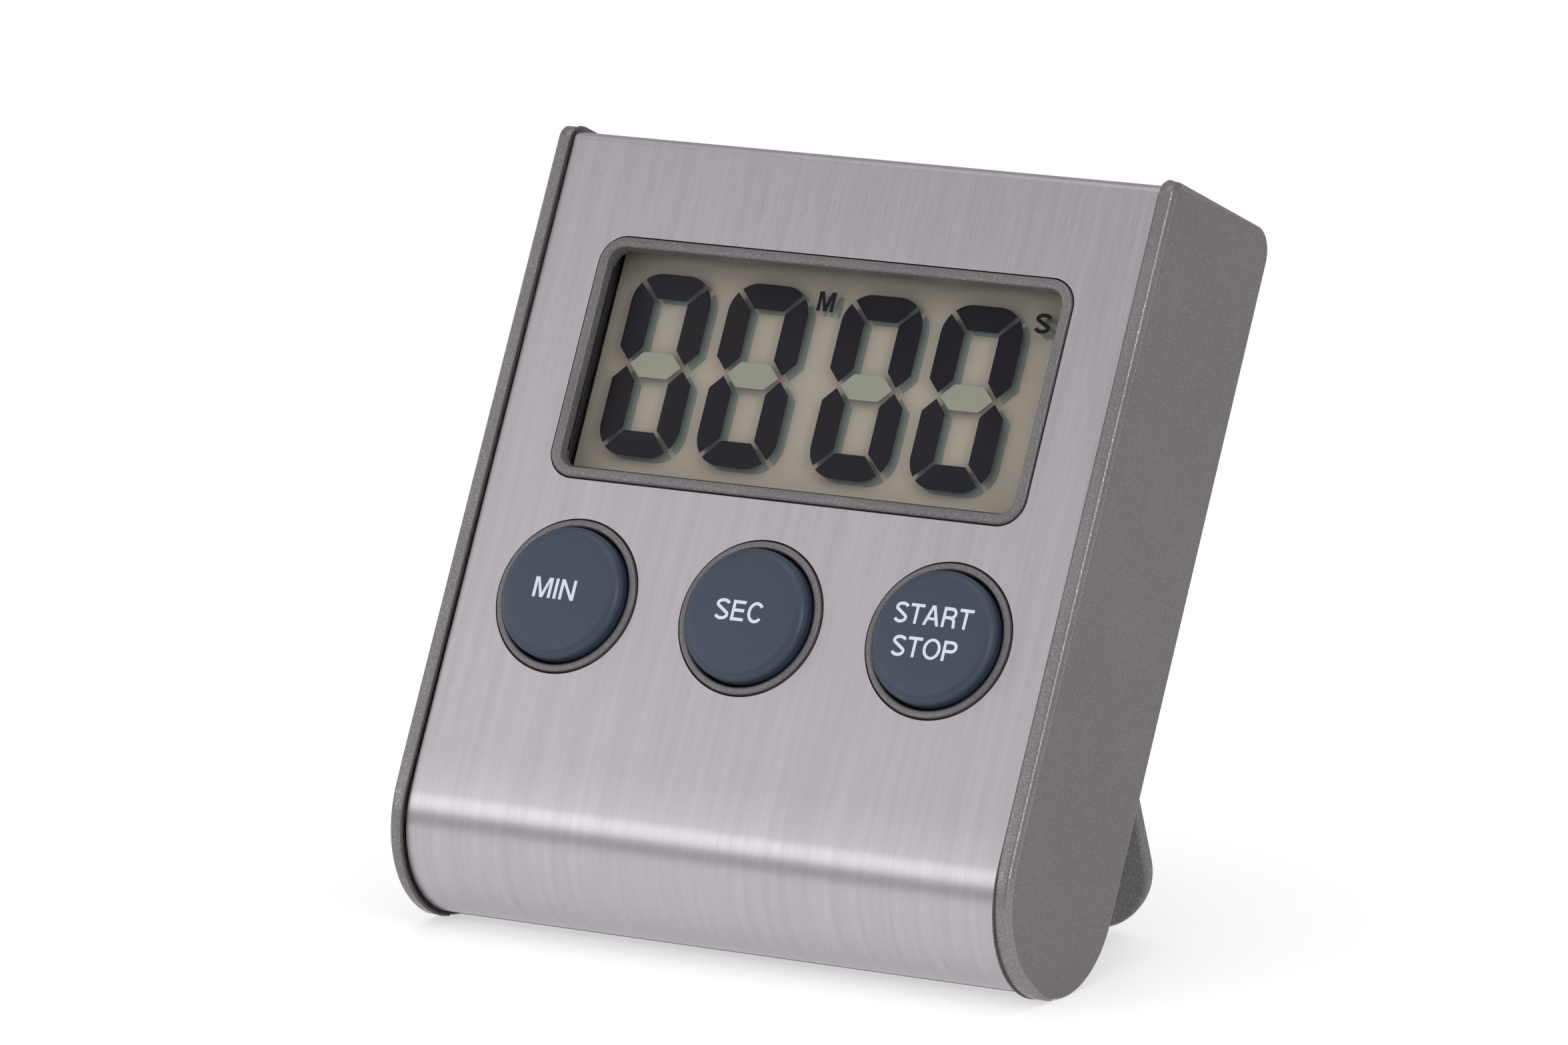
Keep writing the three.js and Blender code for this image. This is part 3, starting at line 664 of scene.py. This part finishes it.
def cap_plate(side, name):
    """The outer plate with its rim, its inner edge eased and its outer edge rounded."""
    outline = cap_outline()
    softness = cap_softness(outline)
    ease = 0.3
    rings = []
    for share, depth in ((0.0, CAP_INNER_EDGE), (ease, ease * CAP_INNER_EDGE), (1.0, 0.0)):
        x = side * (CAP_INNER + share * CAP_INNER_EDGE)
        rings.append([(x, p.x, p.y) for p in inset(outline, depth)])
    for k in range(CAP_STEPS + 1):
        angle = k / CAP_STEPS * math.pi / 2
        ring = inset(outline, [edge * (1 - math.cos(angle)) for edge in softness])
        rings.append([
            (side * (CAP_OUTER - CAP_FLATNESS * edge * (1 - math.sin(angle))), p.x, p.y)
            for edge, p in zip(softness, ring)
        ])
    cap = loft(name, rings)
    place(cap, CAP_PAINTED_LIT_PLASTIC, "case", weighted=True)
    cap.data.materials.append(CAP_SIDE_PAINTED_SHADE)
    # Faces that point squarely sideways take the darker copy of the cap plastic, which is painted shade. The
    # rim and its rounding keep the lighter copy, which is painted light.
    squarely_sideways = 0.99
    for polygon in cap.data.polygons:
        if abs(polygon.normal.x) > squarely_sideways:
            polygon.material_index = 1
    return cap


def cap_spigot(side, name, node):
    """The part of the cap inside the case: a copy of the node, its plate cut off."""
    spigot = cad_copy(name, node)
    starts, ends = side * (CAP_INNER + SPIGOT_GAP), side * 2 * CAP_OUTER
    square = rectangle(*PAST_Y, *PAST_Z)
    cutter = loft("cutter", [[(x, y, z) for y, z in square] for x in (starts, ends)])
    cutter.data.transform(FACE)
    combine(spigot, "DIFFERENCE", [cutter])
    place(spigot, DARK_PLASTIC, "case", Matrix.Identity(4))
    return spigot


def end_cap(side, name, node):
    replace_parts(cap_plate(side, name), node)
    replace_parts(cap_spigot(side, f"{name}_spigot", node), node)


# ---- bezel, collars, frame

def edge_section(width, low, high, radius, steps=4):
    """A closed section of a raised band with both top edges rounded."""
    rise = []
    for k in range(steps + 1):
        angle = k / steps * math.pi / 2
        rise.append((radius * (1 - math.cos(angle)), high - radius * (1 - math.sin(angle))))
    fall = [(width - offset, z) for offset, z in reversed(rise)]
    return [(0, low)] + rise + fall + [(width, low)]


def front_frame():
    path = corner_path(-WINDOW_X, WINDOW_X, WINDOW_Y0, WINDOW_Y1, WINDOW_RADIUS)
    bezel = ring_sweep("window_bezel", path, edge_section(BEZEL_WIDTH, BEZEL_FOOT, PROUD, BEZEL_EDGE))
    place(bezel, FRAME_PLASTIC, "case")
    section = edge_section(COLLAR_RADIUS - COLLAR_BORE, COLLAR_FOOT, PROUD, COLLAR_EDGE)
    for name, x in button_places():
        collar = ring_sweep(f"collar_{name}", circle_path(x, BUTTON_Y, COLLAR_BORE), section)
        place(collar, FRAME_PLASTIC, "case")
    moulding = cad_copy("front_frame_moulding", "front_frame")
    keep_below(moulding, FRAME_FRONT - FRAME_SKIM)
    place(moulding, DARK_PLASTIC, "case", Matrix.Identity(4))
    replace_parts(moulding, "front_frame")


def cad_copy(name, node):
    """A clean copy of a CAD node's mesh, its flat regions joined into whole faces."""
    source = frame["nodes"][node].data
    shape = bmesh.new()
    shape.from_mesh(source)
    for layer in list(shape.loops.layers.uv):
        shape.loops.layers.uv.remove(layer)
    bmesh.ops.remove_doubles(shape, verts=shape.verts, dist=CAD_WELD)
    flat = math.radians(FLAT_DEGREES)
    bmesh.ops.dissolve_limit(shape, angle_limit=flat, verts=shape.verts, edges=shape.edges)
    clean = bpy.data.meshes.new(name)
    shape.to_mesh(clean)
    shape.free()
    for attribute in list(clean.attributes):
        if attribute.name == "custom_normal":
            clean.attributes.remove(attribute)
    obj = bpy.data.objects.new(name, clean)
    bpy.context.scene.collection.objects.link(obj)
    return obj


def keep_below(obj, z):
    """Cuts away what stands in front of a plane at that depth."""
    square = rectangle(*PAST_X, *PAST_Y)
    cutter = loft("cutter", [[(x, y, level) for x, y in square] for level in (z, PAST_FRONT)])
    cutter.data.transform(FACE)
    combine(obj, "DIFFERENCE", [cutter])


# ---- buttons and their labels

def crown_height(radius):
    """Height of the button's crown above the cover."""
    return BUTTON_TOP - CROWN_FALL * radius * radius


def button_profile():
    """(radius, z) from the crown's middle, over the flange, into the hollow and down the stem."""
    flat = BUTTON_RADIUS - BUTTON_SOFT
    profile = [(0, crown_height(0))]
    for k in range(1, CROWN_STEPS + 1):
        radius = flat * k / CROWN_STEPS
        profile.append((radius, crown_height(radius)))
    shoulder_top = crown_height(flat)
    for k in range(1, SHOULDER_STEPS + 1):
        angle = k / SHOULDER_STEPS * math.pi / 2
        radius = flat + (BUTTON_RADIUS - flat) * math.sin(angle)
        drop = SHOULDER_DROP * BUTTON_SOFT * (1 - math.cos(angle))
        profile.append((radius, shoulder_top - drop - SHOULDER_LEAN * math.sin(angle)))
    flange = COLLAR_BORE + FLANGE_LIP
    return profile + [
        (BUTTON_RADIUS, FLANGE_TOP), (flange, FLANGE_TOP), (flange, FLANGE_FOOT),
        (HOLLOW_RADIUS, FLANGE_FOOT), (HOLLOW_RADIUS, HOLLOW_ROOF),
        (STEM_RADIUS, HOLLOW_ROOF), (STEM_RADIUS, STEM_FOOT), (0, STEM_FOOT),
    ]


# These three are for a letter one unit tall. KERNS moves the second letter of a pair.
GLYPH_STROKE = 0.155
LETTER_GAP = 0.15
KERNS = {"TA": -0.1, "AR": -0.02, "RT": -0.06, "ST": -0.06, "TO": -0.05, "OP": -0.03, "SE": -0.01}

# The paint reaches from just inside the crown to just above it.
LABEL_SINK, LABEL_RISE = -0.03, 0.012

# Name, text, middle across the timer, middle above the button's middle, height, width, body.
LABELS = (
    ("label_min", "MIN", -BUTTON_PITCH - 0.34, 0.14, 1.85, 4.25, "button_minutes"),
    ("label_sec", "SEC", -0.25, 0.14, 1.85, 4.85, "button_seconds"),
    ("label_start", "START", BUTTON_PITCH - 0.1, 1.76, 1.82, 7.7, "button_start_stop"),
    ("label_stop", "STOP", BUTTON_PITCH - 0.25, -1.2, 1.82, 6.4, "button_start_stop"),
)


def arc_points(cx, cy, rx, ry, start, end, steps=14):
    points = []
    for k in range(steps + 1):
        angle = math.radians(start + (end - start) * k / steps)
        points.append((cx + rx * math.cos(angle), cy + ry * math.sin(angle)))
    return points


def stroke(spine):
    """A line of points thickened into one outline with square ends."""
    spine = [Vector(p) for p in spine]
    left, right = [], []
    for i, point in enumerate(spine):
        ahead = spine[min(i + 1, len(spine) - 1)] - spine[max(i - 1, 0)]
        normal = Vector((-ahead.y, ahead.x)).normalized() * GLYPH_STROKE / 2
        left.append(point + normal)
        right.append(point - normal)
    return [tuple(p) for p in left + right[::-1]]


def glyph(letter):
    """(width, solid outlines, counter outlines) of a plain sans-serif capital one unit tall."""
    t = GLYPH_STROKE
    if letter == "I":
        return t, [rectangle(0, t, 0, 1)], []
    if letter == "M":
        w = 0.96
        return w, [[(0, 0), (t, 0), (t, 0.8), (w / 2 - 0.08, 0), (w / 2 + 0.08, 0), (w - t, 0.8), (w - t, 0),
                    (w, 0), (w, 1), (w - 0.22, 1), (w / 2, 0.24), (0.22, 1), (0, 1)]], []
    if letter == "N":
        w = 0.8
        return w, [[(0, 0), (t, 0), (t, 0.76), (w - 0.17, 0), (w, 0), (w, 1), (w - t, 1), (w - t, 0.24),
                    (0.17, 1), (0, 1)]], []
    if letter == "E":
        w, bar = 0.7, 0.44
        return w, [rectangle(0, t, 0, 1), rectangle(t / 2, w, 0, t),
                   rectangle(t / 2, w - 0.04, bar, bar + t), rectangle(t / 2, w - 0.02, 1 - t, 1)], []
    if letter == "T":
        w = 0.78
        return w, [rectangle(0, w, 1 - t, 1), rectangle((w - t) / 2, (w + t) / 2, 0, 1 - t / 2)], []
    if letter == "A":
        w = 0.92
        return w, [[(0, 0), (0.17, 0), (0.27, 0.27), (w - 0.27, 0.27), (w - 0.17, 0), (w, 0),
                    (w / 2 + 0.1, 1), (w / 2 - 0.1, 1)]], [[(0.32, 0.4), (w - 0.32, 0.4), (w / 2, 0.82)]]
    if letter == "O":
        w, half, last = 0.96, 0.52, 348.75
        outer = arc_points(w / 2, 0.5, w / 2, half, 0, last, 31)
        inner = arc_points(w / 2, 0.5, w / 2 - t, half - 0.9 * t, 0, last, 31)
        return w, [outer], [inner]
    if letter in "PR":
        w, waist = 0.76, 0.41
        middle = (1 + waist) / 2
        turn, inner_turn = w - 0.3, w - 0.32
        bowl = [(t / 2, waist), (turn, waist)]
        bowl += arc_points(turn, middle, 0.3, 1 - middle, -80, 80)
        bowl += [(turn, 1), (t / 2, 1)]
        hole = [(t, waist + t), (inner_turn, waist + t)]
        hole += arc_points(inner_turn, middle, 0.32 - t, 1 - middle - t, -80, 80)
        hole += [(inner_turn, 1 - t), (t, 1 - t)]
        solids = [rectangle(0, t, 0, 1), bowl]
        if letter == "R":
            w = 0.8
            leg = [(0.46, waist + t / 2)]
            leg += arc_points(0.53, 0.24, 0.14, 0.2, 70, 10, 6)
            leg += [(0.685, 0.1), (0.72, 0)]
            solids.append(stroke(leg))
        return w, solids, [hole]
    if letter == "C":
        w = 0.86
        return w, [stroke(arc_points(w / 2 + 0.01, 0.5, w / 2 - t / 2, 0.52 - t / 2, 38, 322, 30))], []
    w = 0.76
    a, b = w / 2 - t / 2, 0.25
    upper = arc_points(w / 2, 0.76, a, b - t / 2 + 0.01, 15, 205, 16)
    lower = arc_points(w / 2, 0.25, a, b - t / 2 + 0.02, 25, -165, 16)
    return w, [stroke(upper + lower)], []


def letter_piece(letter, z0, z1, scale=(1, 1), offset=(0, 0), bold=0):
    """One solid letter, joined from its strokes, with its counters cut out. bold thickens it all round."""
    _, solids, counters = glyph(letter)

    def cast(outline, low, high):
        moved = [Vector((x * scale[0] + offset[0], y * scale[1] + offset[1])) for x, y in outline]
        return slab("letter", inset(anticlockwise(moved), -bold) if bold else moved, low, high)

    piece = cast(solids[0], z0, z1)
    combine(piece, "UNION", (cast(outline, z0, z1) for outline in solids[1:]))
    combine(piece, "DIFFERENCE", (cast(outline, z0 - 1, z1 + 1) for outline in counters))
    return piece


def label(name, text, x, y, height, width, body):
    """Printed lettering that follows the button's crown."""
    starts, pen = [], 0.0
    for i, letter in enumerate(text):
        starts.append(pen)
        pen += glyph(letter)[0]
        if i < len(text) - 1:
            pen += LETTER_GAP + KERNS.get(text[i:i + 2], 0.0)
    stretch = width / pen
    for i, letter in enumerate(text):
        offset = (starts[i] * stretch - width / 2, y - height / 2)
        piece = letter_piece(letter, LABEL_SINK, LABEL_RISE, (stretch, height), offset)
        for vertex in piece.data.vertices:
            px, py, lift = vertex.co
            vertex.co = (x + px, BUTTON_Y + py, crown_height(math.hypot(px, py)) + lift)
        piece.name = f"{name}_{i + 1}"
        place(piece, LABEL_PAINT, body)


def buttons():
    for name, x in button_places():
        cap = turned(f"button_cap_{name}", button_profile(), x, BUTTON_Y)
        place(cap, BUTTON_PLASTIC, f"button_{name}", crease=40)
        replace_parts(cap, f"button_{name}")
    for row in LABELS:
        label(*row)


# ---- display

DIGIT_WIDTH, DIGIT_TOP, DIGIT_BOTTOM = 8.17, 49.97, 33.02
DIGIT_MIDDLE = (DIGIT_TOP + DIGIT_BOTTOM) / 2
DIGIT_LEFTS = (-21.72, -11.65, -0.03, 10.08)
STROKE, SEGMENT_GAP, DIGIT_CORNER, CORNER_STEPS = 2.33, 0.17, 2.8, 8
TIP_RISE, OUTER_CUT, INNER_CUT = 0.27, 0.05, 0.15
MIDDLE_GAP = 0.3
INK_THICK, LCD_FACE = 0.03, -2.98

# Name, letter, left edge, width.
MARKS = (("minutes_mark", "M", -2.78, 1.6), ("seconds_mark", "S", 19.15, 1.5))
MARK_Y, MARK_HEIGHT, MARK_BOLD = 48.08, 1.7, 0.05

# Each lit segment's shade lies behind it, on the reflector, to the right and a little lower.
SHADE_SHIFT_X, SHADE_SHIFT_Y, SHADE_FACE = 0.34, -0.2, -3.79


def flip(points, across=None, over=None):
    """Mirrors an outline left to right about across, or top to bottom about over."""
    moved = []
    for x, y in points:
        moved.append((2 * across - x if across is not None else x, 2 * over - y if over is not None else y))
    return moved


def segment_slant():
    """SEGMENT_GAP, which is square to two slanted ends, measured level across them."""
    return SEGMENT_GAP * math.sqrt(2)


def digit_corner(left, end, way):
    """One segment's share of the digit's rounded upper left corner, up to the angle end.

    way is 1 where the arc comes down to that angle and -1 where it comes up to it.
    """
    reach = way * (45 - math.degrees(segment_slant() / DIGIT_CORNER))
    centre_x, centre_y = left + DIGIT_CORNER, DIGIT_TOP - DIGIT_CORNER
    points = []
    for k in range(CORNER_STEPS + 1):
        angle = math.radians(end + reach * (1 - k / CORNER_STEPS))
        points.append((centre_x + DIGIT_CORNER * math.cos(angle), centre_y + DIGIT_CORNER * math.sin(angle)))
    return points


def upright_segment(left):
    """The upper left bar of the digit whose left edge is given."""
    right = left + STROKE
    tip = DIGIT_MIDDLE + TIP_RISE
    head = [(right, DIGIT_TOP - STROKE - segment_slant())]
    foot = [(left, tip + STROKE / 2 + OUTER_CUT), (left + STROKE / 2, tip),
            (right, tip + STROKE / 2 + INNER_CUT)]
    return head + digit_corner(left, 180, -1) + foot


def level_segment(left):
    """The top bar of the digit whose left edge is given."""
    right = left + DIGIT_WIDTH
    centre = (left + right) / 2
    arc = digit_corner(left, 90, 1)
    indent = STROKE + segment_slant()
    foot = [(right - indent, DIGIT_TOP - STROKE), (left + indent, DIGIT_TOP - STROKE)]
    return arc + [(centre, DIGIT_TOP)] + flip(arc, across=centre)[::-1] + foot


def middle_segment(left):
    """The hexagonal middle bar, which is not lit."""
    centre, half = left + DIGIT_WIDTH / 2, STROKE / 2
    reach = DIGIT_WIDTH / 2 - half - MIDDLE_GAP
    low, high = DIGIT_MIDDLE - half, DIGIT_MIDDLE + half
    return [(centre - reach, DIGIT_MIDDLE), (centre - reach + half, low), (centre + reach - half, low),
            (centre + reach, DIGIT_MIDDLE), (centre + reach - half, high), (centre - reach + half, high)]


def lit_segments(left):
    """Outlines of the six bars that make a zero."""
    centre = left + DIGIT_WIDTH / 2
    upright, level = upright_segment(left), level_segment(left)
    return {
        "upper_left": upright,
        "upper_right": flip(upright, across=centre),
        "lower_left": flip(upright, over=DIGIT_MIDDLE),
        "lower_right": flip(upright, across=centre, over=DIGIT_MIDDLE),
        "top": level,
        "bottom": flip(level, over=DIGIT_MIDDLE),
    }


def display():
    for number, left in enumerate(DIGIT_LEFTS, 1):
        for bar, outline in lit_segments(left).items():
            piece = slab(f"digit_{number}_{bar}", outline, LCD_FACE - INK_THICK, LCD_FACE)
            place(piece, LCD_INK, "case")
            shaded = [(x + SHADE_SHIFT_X, y + SHADE_SHIFT_Y) for x, y in outline]
            shade = slab(f"digit_{number}_{bar}_shade", shaded, SHADE_FACE - INK_THICK, SHADE_FACE)
            place(shade, LCD_SHADE, "case")
        faint = slab(f"digit_{number}_middle", middle_segment(left), LCD_FACE - INK_THICK, LCD_FACE)
        place(faint, LCD_FAINT, "case")
    for name, letter, x, width in MARKS:
        scale = (width / glyph(letter)[0], MARK_HEIGHT)
        mark = letter_piece(letter, LCD_FACE - INK_THICK, LCD_FACE, scale, (x, MARK_Y), MARK_BOLD)
        mark.name = name
        place(mark, LCD_INK, "case")
        shaded = (x + SHADE_SHIFT_X, MARK_Y + SHADE_SHIFT_Y)
        shade = letter_piece(letter, SHADE_FACE - INK_THICK, SHADE_FACE, scale, shaded, MARK_BOLD)
        shade.name = f"{name}_shade"
        place(shade, LCD_SHADE, "case")


# ---- stand

def flap_length():
    """From the hinge to the table, down the flap's inner face."""
    start = STAND_FACE @ Vector((0, 0, FLAP_INNER - HINGE_Z))
    down = (STAND_FACE @ Vector((0, -1, FLAP_INNER - HINGE_Z))) - start
    return start.z / -down.z


def flap_plate():
    """The flap itself, both its edges rounded. Its lower end reaches the table."""
    length = flap_length()
    corners = [(-FLAP_HALF, -length), (FLAP_HALF, -length), (FLAP_HALF, 0), (-FLAP_HALF, 0)]
    outline = anticlockwise(rounded(corners, [FLAP_CORNER, FLAP_CORNER, 0, 0], step=0.4))
    steps = 4
    angles = [k / steps * math.pi / 2 for k in range(steps + 1)]
    rings = []
    for z, side in ((FLAP_OUTER - HINGE_Z, -1), (FLAP_INNER - HINGE_Z, 1)):
        for angle in angles[::side]:
            level = z - side * FLAP_EDGE * (1 - math.sin(angle))
            depth = FLAP_EDGE * (1 - math.cos(angle))
            rings.append([(p.x, p.y, level) for p in inset(outline, depth)])
    return loft("stand_flap", rings)


def hinge_rod(name, radius, half):
    """A round rod along the hinge axis with its ends eased."""
    turns = [2 * math.pi * k / ROD_STEPS for k in range(ROD_STEPS)]
    rings = []
    for x, ease in ((-half, ROD_EDGE), (-half + ROD_EDGE, 0.0), (half - ROD_EDGE, 0.0), (half, ROD_EDGE)):
        r = radius - ease
        rings.append([(x, r * math.cos(angle), r * math.sin(angle)) for angle in turns])
    return loft(name, rings)


def stand():
    plate = flap_plate()
    place(plate, STAND_PLASTIC, "stand", STAND_FACE, crease=50, weighted=True)
    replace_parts(plate, "stand")
    barrel = hinge_rod("stand_barrel", BARREL_RADIUS, FLAP_HALF)
    pins = hinge_rod("stand_pins", PIN_RADIUS, FLAP_HALF + PIN_REACH)
    for rod in (barrel, pins):
        place(rod, STAND_PLASTIC, "stand", STAND_FACE)


# ---- rear and inner parts

def softened(name, node, material, body, edge):
    """Stands in for a node: the same shape with its edges eased by edge."""
    piece = cad_copy(name, node)
    soften(piece, edge / 1000)
    place(piece, material, body, Matrix.Identity(4), weighted=True)
    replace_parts(piece, node)


def rear():
    shell_edge, lid_edge, magnet_edge, screw_edge = 0.14, 0.1, 0.08, 0.05
    softened("rear_shell", "rear_housing", HOUSING_PLASTIC, "case", shell_edge)
    softened("battery_lid", "battery_door", HOUSING_PLASTIC, "battery_door", lid_edge)
    for side in ("left", "right"):
        softened(f"magnet_disc_{side}", f"magnet_{side}", PLATED, "case", magnet_edge)
    for corner in ("top_left", "top_right", "bottom_left", "bottom_right"):
        softened(f"screw_{corner}", f"case_screw_{corner}", PLATED, "case", screw_edge)


def inner_parts():
    """These nodes keep their own meshes and are only given a finish."""
    finishes = {
        "display_window": LENS,
        "lcd_glass": CELL_GLASS,
        "lcd_reflector": LCD_BACKING,
        "zebra_strip": RUBBER,
        "circuit_board": BOARD,
        "chip_blob": BLACK,
        "crystal": PLATED,
        "sounder": BLACK,
        "switch_minutes": BLACK,
        "switch_seconds": BLACK,
        "switch_start_stop": BLACK,
        "battery": CELL_WRAP,
        "battery_contact": PLATED,
        "battery_spring": PLATED,
        "board_screw_left": PLATED,
        "board_screw_right": PLATED,
    }
    for node, material in finishes.items():
        data = frame["nodes"][node].data
        data.materials.clear()
        data.materials.append(material)


# ---- studio

# Name, direction from the timer in the row frame, distance and size in metres, radiance.
LAMPS = (
    ("key", (-0.57, -0.74, 0.285), 0.9, (0.55, 0.24), 1.15),
    ("key_surround", (-0.55, -0.72, 0.36), 0.95, (1.0, 0.5), 0.6),
    ("top", (0.0, -0.25, 1.0), 1.3, (1.2, 1.2), 1.0),
    ("left", (-0.97, -0.1, 0.25), 1.0, (0.7, 0.7), 0.5),
    ("right", (0.83, -0.38, 0.42), 1.0, (0.25, 0.6), 5.0),
)
LAMP_AIM = (0, 27, -6)
WORLD_STRENGTH = 0.55

# The floor, in metres. Its glow is painted light: the floor glows though it is no lamp, which lifts its
# contact shadow. The glow fades out in front of the timer, between the two values of FLOOR_FADE, so that the
# steel's bottom bend mirrors a painted dark band.
FLOOR_FRONT, FLOOR_BACK, FLOOR_HALF = -4, 5, 4
FLOOR_PAINTED_GLOW, FLOOR_PAINTED_DARK_BAND, FLOOR_FADE = 0.53, 0.05, (-0.16, -0.09)

CAMERA_AIM = (1.62, 27.6, 1.05)
CAMERA_AZIMUTH, CAMERA_ELEVATION = math.radians(31.1), math.radians(10.98)
CAMERA_DISTANCE, CAMERA_NEAR, CAMERA_FAR = 0.8489, 0.05, 20
SENSOR_WIDTH, FOCAL_LENGTH = 36, 224.3


def soft_box(name, direction, distance, size, radiance):
    light = bpy.data.lights.new(name, "AREA")
    light.shape = "RECTANGLE"
    light.size, light.size_y = size
    light.energy = radiance * math.pi * size[0] * size[1]
    lamp = bpy.data.objects.new(name, light)
    aim = FACE @ Vector(LAMP_AIM)
    lamp.location = aim + Vector(direction).normalized() * distance
    lamp.rotation_euler = (lamp.location - aim).to_track_quat("Z", "Y").to_euler()
    bpy.context.scene.collection.objects.link(lamp)


def world_light():
    world = bpy.data.worlds.new("studio")
    world.use_nodes = True
    background = world.node_tree.nodes["Background"]
    background.inputs["Color"].default_value = (1.0, 1.0, 1.0, 1)
    background.inputs["Strength"].default_value = WORLD_STRENGTH
    bpy.context.scene.world = world


def floor_finish():
    floor = Shader("floor", (0.62, 0.62, 0.62), 0.6, Emission_Strength=FLOOR_PAINTED_GLOW)
    mottle = floor.noise((14, 14, 14), 3.0, 0.5)
    floor.color(floor.blend(mottle, (0.60, 0.60, 0.60), (0.64, 0.64, 0.64)))
    spot = floor.node("ShaderNodeSeparateXYZ")
    floor.link(floor.coordinates((1, 1, 1)), spot.inputs[0])
    # Painted light: the emission glows near and behind the timer and dims far in front of it, giving the
    # steel a painted dark reflection band.
    lit = floor.ramp(spot.outputs["Y"], 0.0, 1.0, *FLOOR_FADE)
    painted_glow = floor.blend(lit, (FLOOR_PAINTED_DARK_BAND, FLOOR_PAINTED_DARK_BAND, FLOOR_PAINTED_DARK_BAND), (1.0, 1.0, 1.0))
    floor.link(painted_glow, floor.shader.inputs["Emission Color"])
    return floor.material


def floor():
    corners = [(x, y, 0) for x, y in rectangle(-FLOOR_HALF, FLOOR_HALF, FLOOR_FRONT, FLOOR_BACK)]
    ground = raw_object("floor", corners, [(0, 1, 2, 3)])
    ground.data.materials.append(floor_finish())


def add_camera():
    aim = FACE @ Vector(CAMERA_AIM)
    level = math.cos(CAMERA_ELEVATION)
    away = Vector((math.sin(CAMERA_AZIMUTH) * level, -math.cos(CAMERA_AZIMUTH) * level,
                   math.sin(CAMERA_ELEVATION)))
    data = bpy.data.cameras.new("camera")
    data.sensor_width = SENSOR_WIDTH
    data.lens = FOCAL_LENGTH
    data.clip_start, data.clip_end = CAMERA_NEAR, CAMERA_FAR
    camera = bpy.data.objects.new("camera", data)
    camera.location = aim + away * CAMERA_DISTANCE
    camera.rotation_euler = away.to_track_quat("Z", "Y").to_euler()
    bpy.context.scene.collection.objects.link(camera)
    bpy.context.scene.camera = camera


def studio():
    bpy.context.scene.view_settings.view_transform = "Standard"
    world_light()
    floor()
    for row in LAMPS:
        soft_box(*row)
    add_camera()


# ---- making

STEEL = brushed_steel()
# The cap's rim and side are one plastic in two copies: the lighter rim copy is painted light and the darker
# side copy is painted shade.
CAP_PAINTED_LIT_PLASTIC = textured_plastic(
    "cap plastic painted lit copy", (0.170, 0.155, 0.160), (0.33, 0.31, 0.32),
    roughness=0.33, grain=0.28, depth=0.00002, metallic=0.6,
)
CAP_SIDE_PAINTED_SHADE = textured_plastic(
    "cap side plastic painted shade", (0.120, 0.109, 0.109), (0.185, 0.169, 0.170),
    roughness=0.5, grain=0.28, depth=0.00002, metallic=0.3,
)
FRAME_PLASTIC = textured_plastic(
    "frame plastic", (0.12, 0.112, 0.114), (0.30, 0.28, 0.285),
    roughness=0.42, grain=0.2, depth=0.00002, metallic=0.4,
)
DARK_PLASTIC = textured_plastic(
    "chassis plastic", (0.09, 0.085, 0.08), (0.15, 0.14, 0.135),
    roughness=0.5, grain=0.3, depth=0.00002,
)
HOUSING_PLASTIC = textured_plastic(
    "housing plastic", (0.13, 0.125, 0.125), (0.22, 0.21, 0.21),
    roughness=0.5, grain=0.32, depth=0.00003,
)
STAND_PLASTIC = textured_plastic(
    "stand plastic", (0.12, 0.115, 0.115), (0.22, 0.21, 0.21),
    roughness=0.55, grain=0.42, depth=0.00006,
)
BUTTON_PLASTIC = button_plastic()
LABEL_PAINT = label_paint()
LENS = clear_pane("display window", (0.99, 0.99, 0.99), haze=0.03)
CELL_GLASS = clear_pane("display glass", (0.985, 0.985, 0.98), haze=0.08)
LCD_BACKING = lcd_backing()
LCD_INK = lcd_ink()
LCD_FAINT = lcd_faint()
LCD_SHADE = lcd_shade()
RUBBER = plain_finish("elastomer", (0.20, 0.17, 0.175), (0.27, 0.235, 0.24), roughness=0.7)
BOARD = plain_finish("circuit board", (0.02, 0.10, 0.04), (0.04, 0.16, 0.06), roughness=0.4)
BLACK = plain_finish("black plastic", (0.012, 0.012, 0.013), (0.03, 0.03, 0.032), roughness=0.45)
PLATED = plain_finish(
    "plated metal", (0.55, 0.54, 0.52), (0.60, 0.59, 0.565),
    roughness=0.26, metallic=1.0, grain=0.8, depth=0.0000005,
)
CELL_WRAP = plain_finish("cell wrap", (0.03, 0.10, 0.20), (0.05, 0.14, 0.27), roughness=0.35)

studio()
cover()
end_cap(-1, "cap_left", "left_end_cap")
end_cap(1, "cap_right", "right_end_cap")
front_frame()
buttons()
display()
stand()
rear()
inner_parts()
